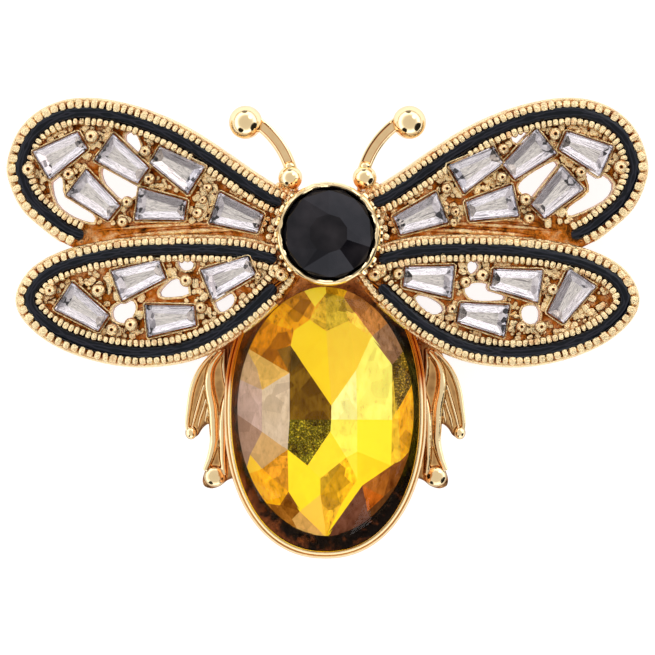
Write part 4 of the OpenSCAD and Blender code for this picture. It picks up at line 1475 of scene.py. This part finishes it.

# %% [markdown]
# ## Legs
# The legs are folds of metal beside the cup. A slab gives their outline, round ridges run down it, and each
# foot ends in a soft bulb. A Remesh modifier melts these into one skin. How far a smoothed copy lies above
# that skin says where its hollows are, and the hollows and the folds' sides get painted shade. Under the
# wings the legs get a more even painted shade. Their outline is in shares of the cup's half sizes. The
# ridges and bulbs are on the grid, outwards and upwards from the middle of the cup.

# %% Sizes of the legs
LEG_Z = 2.0
LEG_T = 1.0
LEG_OUTLINE = [
    (0.985, 0.500), (1.120, 0.450), (1.200, 0.350), (1.259, 0.253), (1.308, 0.151), (1.347, 0.049),
    (1.372, -0.045), (1.387, -0.133), (1.357, -0.181), (1.303, -0.194), (1.244, -0.174), (1.200, -0.127),
    (1.146, -0.100), (1.112, -0.127), (1.102, -0.194), (1.112, -0.269), (1.151, -0.336), (1.200, -0.397),
    (1.230, -0.465), (1.210, -0.519), (1.131, -0.540), (1.043, -0.526), (0.964, -0.485), (0.836, -0.397),
    (0.850, 0.077), (0.850, 0.380), (0.900, 0.500),
]
LEG_RIDGES = [
    (2.8, [(109, 61), (120, 50), (128, 38), (134, 22), (137, 4), (139, -12), (138, -23)]),
    (5.2, [(104, 60), (114, 46), (117, 32), (116, 18), (113, 2), (112, -16), (112, -32), (116, -48),
           (121, -60)]),
    (4.0, [(97, 24), (101, 8), (103, -10), (103, -29), (103, -49), (101, -64)]),
    (2.2, [(101, 62), (102, 48), (101, 34), (99, 22)]),
    (2.4, [(94, 66), (95, 50), (96, 36), (98, 24)]),
    (1.5, [(121, 30), (126, 12), (131, -6), (134, -18)]),
    (1.2, [(119, 18), (122, 4), (126, -8), (128, -18)]),
    (1.2, [(118, 8), (119, -2), (121, -12)]),
]
FOOT_BULBS = [(111, -66, 11.5, 11, 0.5), (135, -22, 6, 7, 0.45)]
LEG_VOXEL = 0.06
LEG_INSET = 0.12
SLAB_SUNK, RIDGE_SUNK, BULB_SUNK = 0.25, 0.1, 0.3
# FOLD_TOP and FOLD_FALL set the painted shade down a fold's sides; SHADED_FOLD and SHADE_SHARE give the even
# painted shade under the wings.
FOLD_TOP = LEG_Z + LEG_T + 0.12
FOLD_FALL = 2.1
HOLLOW_REACH, HOLLOW_DEPTH = 20, 0.09
SHADED_FOLD = 0.6
SHADE_SHARE = 0.85
SHADE_FROM_Y, SHADE_OVER_Y, SHADE_TO_X, SHADE_OVER_X = 1.7, 0.8, 7.4, 0.4
LEG_SMOOTH_ANGLE = math.radians(60)
print("legs:", len(LEG_RIDGES), "ridges on each side")

# %% Sculpt the legs
def tapered(line, width):
    """Radii along a rod that thins out towards both ends."""
    count = len(line)
    turns = [math.pi * (k + 0.6) / (count + 0.2) for k in range(count)]
    return [width * GRID * (0.45 + 0.55 * math.sin(turn)) for turn in turns]


def ball(place, size, segments=24):
    """A ball or bulb; size is its three radii."""
    rings = segments // 2
    made = add(
        bpy.ops.mesh.primitive_uv_sphere_add, segments=segments, ring_count=rings, radius=1, location=place
    )
    made.scale = size
    return apply_place(made)


def hollows(obj, reach, depth):
    """How hollow each corner is: a smoothed twin fills the hollows and sinks at the ridges."""
    twin = copy_of(obj)
    apply_modifier(twin, "SMOOTH", factor=0.5, iterations=reach)
    shares = [(b.co - a.co).dot(a.normal) / depth for a, b in zip(obj.data.vertices, twin.data.vertices)]
    bpy.data.objects.remove(twin)
    return shares


def fold_shade(co, hollow):
    """Painted shade on a fold: deep in its hollows and down its sides, more even where the wing shades it."""
    fall = clamp(hollow + FOLD_FALL * (FOLD_TOP - co.z))
    shade = clamp((co.y - SHADE_FROM_Y) / SHADE_OVER_Y) * clamp((SHADE_TO_X - abs(co.x)) / SHADE_OVER_X)
    return fall + (SHADED_FOLD - fall) * SHADE_SHARE * shade


def legs(side):
    """The folds on one side of the cup."""
    top = LEG_Z + LEG_T
    outline = smooth_loop([(side * x * CUP_HALF[0], y * CUP_HALF[1]) for x, y in LEG_OUTLINE], 4)
    sheet = polygon_sheet("slab", inset_line(outline, side, LEG_INSET))
    parts = [raise_sheet(sheet, LEG_Z, top - SLAB_SUNK)]
    for width, points in LEG_RIDGES:
        line = smooth_run([(side * x * GRID, y * GRID, top - RIDGE_SUNK) for x, y in points], 4)
        parts.append(tube("ridge", line, tapered(line, width)))
    for x, y, across, along, up in FOOT_BULBS:
        parts.append(ball((side * x * GRID, y * GRID, top - BULB_SUNK), (across * GRID, along * GRID, up)))
    folds = join(f"legs_{SIDE_NAMES[side]}", parts)
    apply_modifier(folds, "REMESH", mode="VOXEL", voxel_size=LEG_VOXEL)
    apply_modifier(folds, "SMOOTH", factor=0.5, iterations=3)
    shares = iter(hollows(folds, HOLLOW_REACH, HOLLOW_DEPTH))
    write_painted_shading(folds, lambda co: fold_shade(co, next(shares)))
    folds.location = (*ABDOMEN, 0)
    return settle(folds, folded_gold, "casting", smooth=LEG_SMOOTH_ANGLE)


for side in (LEFT, RIGHT):
    legs(side)

# %% [markdown]
# ## Head setting
# The head's setting is turned on a lathe: a round back, a straight wall, and a thin rim that is rolled over
# the stone's edge. Its rings are circles. A Displace modifier dents it a little, and lumps of solder lie
# round it, but not at the antennae and the cup.

# %% Turn the head's setting
HEAD_PROFILE = [
    (2.50, 1.72), (2.95, 1.95), (3.25, 2.70), (3.45, 3.60), (3.55, 4.50), (3.58, 5.60), (3.62, 6.30),
    (3.62, 6.58), (3.57, 6.76), (3.48, 6.86), (3.37, 6.88), (3.28, 6.82), (3.24, 6.70), (3.27, 6.52),
    (3.29, 6.30), (2.0, 5.2), (0.4, 3.9),
]
RIM_LUMP_STEP = 9
LUMP_RING_R = 3.66
LUMP_SIZES, LUMP_LEVELS, LUMP_LENGTHS = (0.17, 0.26), (6.25, 6.55), (1.0, 1.5)
LUMP_TURN = 3
SETTING_DENTS = (0.6, 0.14, 0.5)
SETTING_SHADE, SETTING_FALL = 0.55, (6.5, 5.9)
ANTENNAE_AT, ANTENNAE_CLEAR = 90, 38
CUP_AT, CUP_CLEAR = 270, 42


def degrees_apart(first, second):
    """How many degrees lie between two directions."""
    return abs((first - second + 180) % 360 - 180)


def dent(obj, size, strength, middle):
    """Pushes a surface in and out by a cloud texture."""
    clouds = bpy.data.textures.new("clouds", "CLOUDS")
    clouds.noise_scale = size
    apply_modifier(
        obj, "DISPLACE", texture=clouds, texture_coords="LOCAL", strength=strength, mid_level=middle
    )


head_wall = loft("head_wall", [oval(r, r, z, middle=HEAD) for r, z in HEAD_PROFILE])
dent(head_wall, *SETTING_DENTS)
# The wall gets painted shade below its rim.
write_painted_shading(head_wall, lambda co: SETTING_SHADE * falling(*SETTING_FALL)(co))
parts = [head_wall]
random.seed(9)
rim_lump = pillow("rim_lump", 1.0, -0.3)
for angle in range(0, 360, RIM_LUMP_STEP):
    if degrees_apart(angle, ANTENNAE_AT) > ANTENNAE_CLEAR and degrees_apart(angle, CUP_AT) > CUP_CLEAR:
        turn = math.radians(angle + wobble(LUMP_TURN))
        size = random.uniform(*LUMP_SIZES)
        x, y = HEAD[0] + LUMP_RING_R * math.cos(turn), HEAD[1] + LUMP_RING_R * math.sin(turn)
        parts.append(apply_place(place_copy(
            rim_lump,
            (x, y, random.uniform(*LUMP_LEVELS)),
            turn=(0, 0, turn),
            size=(size, size * random.uniform(*LUMP_LENGTHS), LUMP_HEIGHT),
        )))
bpy.data.objects.remove(rim_lump)
settle(join("head_setting", parts), polished_gold, "casting")

# %% [markdown]
# ## Thorax
# Behind the head the wings meet in a block of metal. Its face shows only at the sides of the head, where it
# is as rough as the wings and gets an even painted shade. The block is bevelled, divided and dented more
# deeply than the head's setting.

# %% Rough out the thorax
THORAX_SIZE = (8.8, 6.2)
THORAX_Z = (1.7, 4.6)
THORAX_SHADE = 0.6
THORAX_DENTS = (0.4, 0.3, 0.6)
place = (*HEAD, sum(THORAX_Z) / 2)
thorax = named(add(bpy.ops.mesh.primitive_cube_add, size=1, location=place), "thorax_block")
thorax.scale = (*THORAX_SIZE, THORAX_Z[1] - THORAX_Z[0])
apply_place(thorax)
apply_modifier(thorax, "BEVEL", width=0.5, segments=3)
open_mesh(thorax)
bpy.ops.mesh.subdivide(number_cuts=14)
bpy.ops.object.mode_set(mode="OBJECT")
dent(thorax, *THORAX_DENTS)
write_painted_shading(thorax, lambda co: THORAX_SHADE)
settle(thorax, grained_gold, "casting")

# %% [markdown]
# ## Antennae
# Each antenna is a stalk with a hollow face between two balls, a small one on the head and a bigger one at
# its tip. A collar ends the stalk at the small ball.

# %% Bend the antennae
ANTENNA_Z = 5.1
MID_Y = 5.855
TIP_BALL = (5.73, 20.21, 1.18)
FOOT_BALL = (2.60, 16.33, 0.85)
STALK_CENTRE = (8.41, 15.18)
STALK_BEND = 6.1
STALK_ANGLES = (116, 166)
STALK_SECTION = two_sided([
    (-0.45, -0.30), (-0.45, 0.24), (-0.41, 0.33), (-0.34, 0.36), (-0.28, 0.31), (-0.26, 0.20), (-0.21, 0.19),
]) + [(0.34, -0.37), (-0.34, -0.37)]
COLLAR_ANGLE, COLLAR_LIFT, COLLAR_SIZE = 161, 0.02, (0.46, 0.36, 0.46)
# How much painted shade the balls and the stalk's sunk face get.
BALL_REACH, BALL_SHADE, BALL_FALL = 1.01, 0.36, 0.7
STALK_LEVELS = (0.18, 0.21)
STALK_FACE_HALF, STALK_FACE_SHADE = 0.28, 0.2
STALK_EDGE, STALK_EDGE_SHADE = 0.23, 0.8


def stalk_spot(angle):
    """A place on the bend of the right stalk."""
    turn = math.radians(angle)
    (x, y), bend = STALK_CENTRE, STALK_BEND
    return (x + bend * math.cos(turn), y + bend * math.sin(turn) - MID_Y)


def stalk_shade(co):
    """Painted shade: the stalk's sunk face is darkest along its rims, and the balls are deeper gold down
    their sides.
    """
    for x, y, size in (TIP_BALL, FOOT_BALL):
        if math.hypot(abs(co.x) - x, co.y + MID_Y - y) < BALL_REACH * size:
            return BALL_SHADE * falling(ANTENNA_Z + BALL_FALL * size, ANTENNA_Z)(co)
    across = abs(math.hypot(abs(co.x) - STALK_CENTRE[0], co.y + MID_Y - STALK_CENTRE[1]) - STALK_BEND)
    if not STALK_LEVELS[0] < co.z - ANTENNA_Z < STALK_LEVELS[1] or across > STALK_FACE_HALF:
        return 0.0
    return STALK_EDGE_SHADE if across > STALK_EDGE else STALK_FACE_SHADE


def antenna(side):
    """One antenna: made on the right and mirrored for the left."""
    line = [stalk_spot(angle) for angle in range(STALK_ANGLES[0], STALK_ANGLES[1] + 1)]
    parts = [sweep("stalk", line, STALK_SECTION)]
    parts.append(ball((*stalk_spot(COLLAR_ANGLE), COLLAR_LIFT), COLLAR_SIZE, 16))
    for (x, y, size), segments in ((TIP_BALL, 40), (FOOT_BALL, 32)):
        parts.append(ball((x, y - MID_Y, 0), (size, size, size), segments))
    made = join(f"antenna_{SIDE_NAMES[side]}", parts)
    made.location.z = ANTENNA_Z
    made.scale.x = side
    face_outward(apply_place(made))
    write_painted_shading(made, stalk_shade)
    return settle(made, polished_gold, "casting")


for side in (LEFT, RIGHT):
    antenna(side)

# %% [markdown]
# ## Head stone
# The head is a round black chaton: a small table, a ring of main facets, and a narrow ring of facets
# above its girdle. Some corners of its crown are lifted a little, because the real stone's facets catch
# the light unevenly, and the whole is then divided into flat triangles.

# %% Cut the head stone
HEAD_CUT = [
    (0.30, 4.20, 0.0), (3.20, 6.35, 0.0), (3.22, 6.50, 0.0), (3.02, 6.70, 0.5), (1.36, 7.66, 0.5),
]
HEAD_SIDES = 10
CROWN_LIFTS = (0.0, 0.0, 0.06, 0.22, 0.28, 0.27, 0.14, 0.02, 0.0, 0.05)
rings = [oval(r, r, z, HEAD_SIDES, middle=HEAD, turn=turn) for r, z, turn in HEAD_CUT]
rings[-2] = [(x, y, z + lift) for (x, y, z), lift in zip(rings[-2], CROWN_LIFTS)]
head_stone = loft("head_stone_cut", rings)
apply_modifier(head_stone, "TRIANGULATE")
settle(head_stone, black_glass, "head_stone", smooth=None)

# %% [markdown]
# ## Abdomen stone
# The great oval is a pointed cut with a long seven-sided table. What one sees in it is its back: foil facets,
# each of which throws another tone of yellow, from almost white to dark brown. So the facets of the back
# are drawn one by one, on the grid, each with a tone that is its painted reflection. How much a facet's foil
# is worked follows from its tone: bright yellow facets are clean, mauve ones scratched, brown ones brushed,
# and dark olive ones get painted glints.

# %% Corners of the back
CORNERS = {
    "top": (1, 117), "crest": (18, 113), "kite_left": (-15, 91), "kite_low": (1, 80),
    "kite_right": (23, 90), "left_high": (-31, 80), "left_shoulder": (-34, 65), "notch": (-24, 49),
    "heart": (6, 5), "pale_tip": (31, 41), "bend": (46, 74), "right_high": (67, 46), "right_mid": (67, -9),
    "right_low": (66, -55), "right_foot": (37, -75), "foot": (1, -125), "low_left": (-25, -100),
    "left_foot": (-37, -81), "left_low": (-38, -39), "seam_left": (-36, -9), "left_top": (-36, 38),
    "seam_heart": (6, -9), "dark_right": (5, -21), "dark_low": (-18, -55), "seam_mid": (32, -9),
    "mid_low": (21, -47), "mid_right": (32, -41), "gold_left": (-5, -68), "gold_foot": (-5, -84),
    "gold_right": (32, -69), "gold_low": (17, -92), "olive_low": (71, 0), "amber_low": (75, -49),
    "east_seam": (58, -85), "red_spot": (42, -100), "brown_low": (-33, -108), "brown_left": (-45, -94),
    "west_low": (-63, -58), "west_knee": (-75, -44), "west_seam": (-63, -21), "west_high": (-63, 21),
    "west_top": (-68, 42), "brown_tip": (-48, 61), "glint": (-10, 104),
}
STONE_GRID = (93, 129)
RIM_STEP = 15
for angle in range(0, 360, RIM_STEP):
    turn = math.radians(angle)
    CORNERS[f"r{angle}"] = (STONE_GRID[0] * math.cos(turn), STONE_GRID[1] * math.sin(turn))

# %% Facets of the back and their painted reflection tones
# Each tone is a painted reflection of its facet.
BACK_FACETS = [
    ("top kite_left kite_low", (222, 180, 50)),
    ("top kite_low kite_right crest", (206, 174, 52)),
    ("kite_left left_high left_shoulder notch heart kite_low", (252, 216, 42)),
    ("kite_low heart pale_tip bend kite_right", (246, 208, 62)),
    ("kite_right bend crest", (238, 198, 72)),
    ("heart seam_heart seam_mid pale_tip", (255, 252, 160)),
    ("pale_tip seam_mid right_mid right_high bend", (255, 248, 118)),
    ("seam_heart dark_right mid_low mid_right seam_mid", (255, 246, 96)),
    ("seam_mid mid_right right_low right_mid", (254, 236, 52)),
    ("mid_right mid_low gold_right", (254, 226, 60)),
    ("mid_right gold_right gold_low foot right_foot right_low", (253, 217, 36)),
    ("mid_low gold_left gold_foot", (226, 180, 40)),
    ("mid_low gold_foot gold_low gold_right", (243, 188, 28)),
    ("dark_low dark_right mid_low gold_left", (253, 224, 52)),
    ("left_low dark_low gold_left gold_foot low_left left_foot", (254, 226, 42)),
    ("low_left gold_foot foot", (250, 202, 74)),
    ("gold_foot gold_low foot", (240, 186, 46)),
    ("left_top left_shoulder notch", (106, 82, 28)),
    ("left_top notch heart seam_heart seam_left", (118, 84, 16)),
    ("seam_left seam_heart dark_right dark_low left_low", (112, 104, 22)),
    ("crest r75 r60 r45 bend", (184, 120, 60)),
    ("bend r45 r30 right_high", (150, 110, 80)),
    ("right_high r30 r15 olive_low", (112, 90, 28)),
    ("right_high olive_low right_mid", (200, 165, 50)),
    ("right_mid olive_low amber_low right_low", (230, 185, 45)),
    ("olive_low r15 r0 r345 amber_low", (240, 172, 26)),
    ("right_low amber_low r345 r330 east_seam", (126, 70, 26)),
    ("right_low east_seam right_foot", (158, 90, 30)),
    ("right_foot east_seam red_spot", (176, 88, 22)),
    ("east_seam r330 r315 r300 red_spot", (92, 54, 26)),
    ("right_foot red_spot r300 r285 foot", (104, 62, 46)),
    ("foot r285 r270", (80, 50, 28)),
    ("foot r270 r255", (100, 66, 32)),
    ("low_left foot r255 brown_low", (216, 166, 92)),
    ("left_foot low_left brown_low brown_left", (150, 92, 26)),
    ("brown_left brown_low r255 r240 r225", (166, 106, 36)),
    ("left_foot brown_left r225 r210 west_low", (246, 176, 24)),
    ("left_low left_foot west_low", (220, 150, 36)),
    ("west_low r210 west_knee", (250, 202, 56)),
    ("west_knee r210 r195 r180 west_seam", (166, 132, 116)),
    ("west_seam left_low west_low west_knee", (206, 166, 112)),
    ("west_high west_seam r180 r165", (196, 168, 162)),
    ("left_top seam_left left_low west_seam west_high", (212, 192, 172)),
    ("west_high r165 r150 west_top", (200, 166, 132)),
    ("r150 left_top west_high west_top", (224, 182, 98)),
    ("left_top brown_tip left_shoulder", (140, 100, 30)),
    ("r150 brown_tip left_top", (190, 118, 20)),
    ("brown_tip r150 r135 left_high left_shoulder", (210, 132, 16)),
    ("left_high r135 r120 kite_left", (232, 160, 20)),
    ("kite_left r120 r105 glint", (196, 130, 26)),
    ("kite_left glint top", (226, 166, 40)),
    ("glint r105 r90 top", (250, 220, 60)),
    ("top r90 r75 crest", (226, 172, 32)),
]

# %% Cut the stone facet by facet
BACK_Z = 4.10
BACK_DEPTH = 2.6
GIRDLE_Z = 4.70
TABLE_Z = 5.75
TABLE = [
    (8, 112, 60), (71, 48, 30), (71, -57, 345), (43, -84, 315), (4, -121, 270), (-42, -85, 225),
    (-42, 45, 150),
]
STONE_WELD = 0.002
CLEAN, SCRATCHED, BRUSHED, FOIL_GLINTING = 0.08, 0.32, 0.78, 1.0
DARK_RED, OLIVE_SHARE, AMBER_GREEN, MAUVE_BLUE = 120, 0.79, 200, 90
GLASS_FACET, FOIL_FACET = 0, 1


def on_stone_grid(x, y, z):
    """A place on the grid round the stone's middle, in millimetres."""
    return (ABDOMEN[0] + x * GRID, ABDOMEN[1] + y * GRID, z)


def back_place(name):
    """A corner of the back, deeper towards the middle."""
    x, y = CORNERS[name]
    out = math.hypot(x / STONE_GRID[0], y / STONE_GRID[1])
    return on_stone_grid(x, y, BACK_Z - BACK_DEPTH * max(0.0, 1 - out ** 1.6))


def rim_place(angle, z):
    """A corner of the girdle at a direction."""
    return on_stone_grid(*CORNERS[f"r{angle % 360}"], z)


def facet(places, kind, tone=(1, 1, 1), worked=0.0):
    """One flat facet with its tone, a painted reflection, and how much the foil behind it is brushed."""
    sheet = polygon_sheet("facet", places)
    for material in (amber_glass, amber_foil):
        sheet.data.materials.append(material)
    sheet.data.polygons[0].material_index = kind
    layer = sheet.data.color_attributes.new("tone", "FLOAT_COLOR", "CORNER")
    for corner in layer.data:
        corner.color = (*tone, worked)
    return sheet


def brushing(tone):
    """How much the foil behind a facet is worked."""
    red, green, blue = tone
    if red < DARK_RED and green > OLIVE_SHARE * red:
        return FOIL_GLINTING
    if blue > MAUVE_BLUE:
        return SCRATCHED
    return BRUSHED if green < AMBER_GREEN else CLEAN


def table_corner(angle):
    """The table's corner that the crown's facets from this angle of the rim run to."""
    away = [degrees_apart(angle, row[2]) for row in TABLE]
    return away.index(min(away))


parts = []
for names, tone in BACK_FACETS:
    places = [back_place(name) for name in names.split()]
    parts.append(facet(places, FOIL_FACET, linear(tone), brushing(tone)))
for angle in range(0, 360, RIM_STEP):
    low = [rim_place(angle + k, BACK_Z) for k in (0, RIM_STEP)]
    high = [rim_place(angle + k, GIRDLE_Z) for k in (RIM_STEP, 0)]
    parts.append(facet(low + high, GLASS_FACET))
table = [on_stone_grid(x, y, TABLE_Z) for x, y, _ in TABLE]
parts.append(facet(table, GLASS_FACET))
for angle in range(0, 360, RIM_STEP):
    first, second = table_corner(angle), table_corner((angle + RIM_STEP) % 360)
    places = [rim_place(angle, GIRDLE_Z), rim_place(angle + RIM_STEP, GIRDLE_Z), table[second]]
    if first != second:
        places.append(table[first])
    parts.append(facet(places, GLASS_FACET))
abdomen_stone = face_outward(join("abdomen_stone_cut", parts), STONE_WELD)
settle(abdomen_stone, None, "abdomen_stone", smooth=None)

# %% [markdown]
# ## Pin
# The pin's fitting is plain, and its solid in the frame already has the right shape. It only gets its
# plating.

# %% Plate the pin and finish
for material_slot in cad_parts["pin_fitting"].material_slots:
    material_slot.material = pin_gold
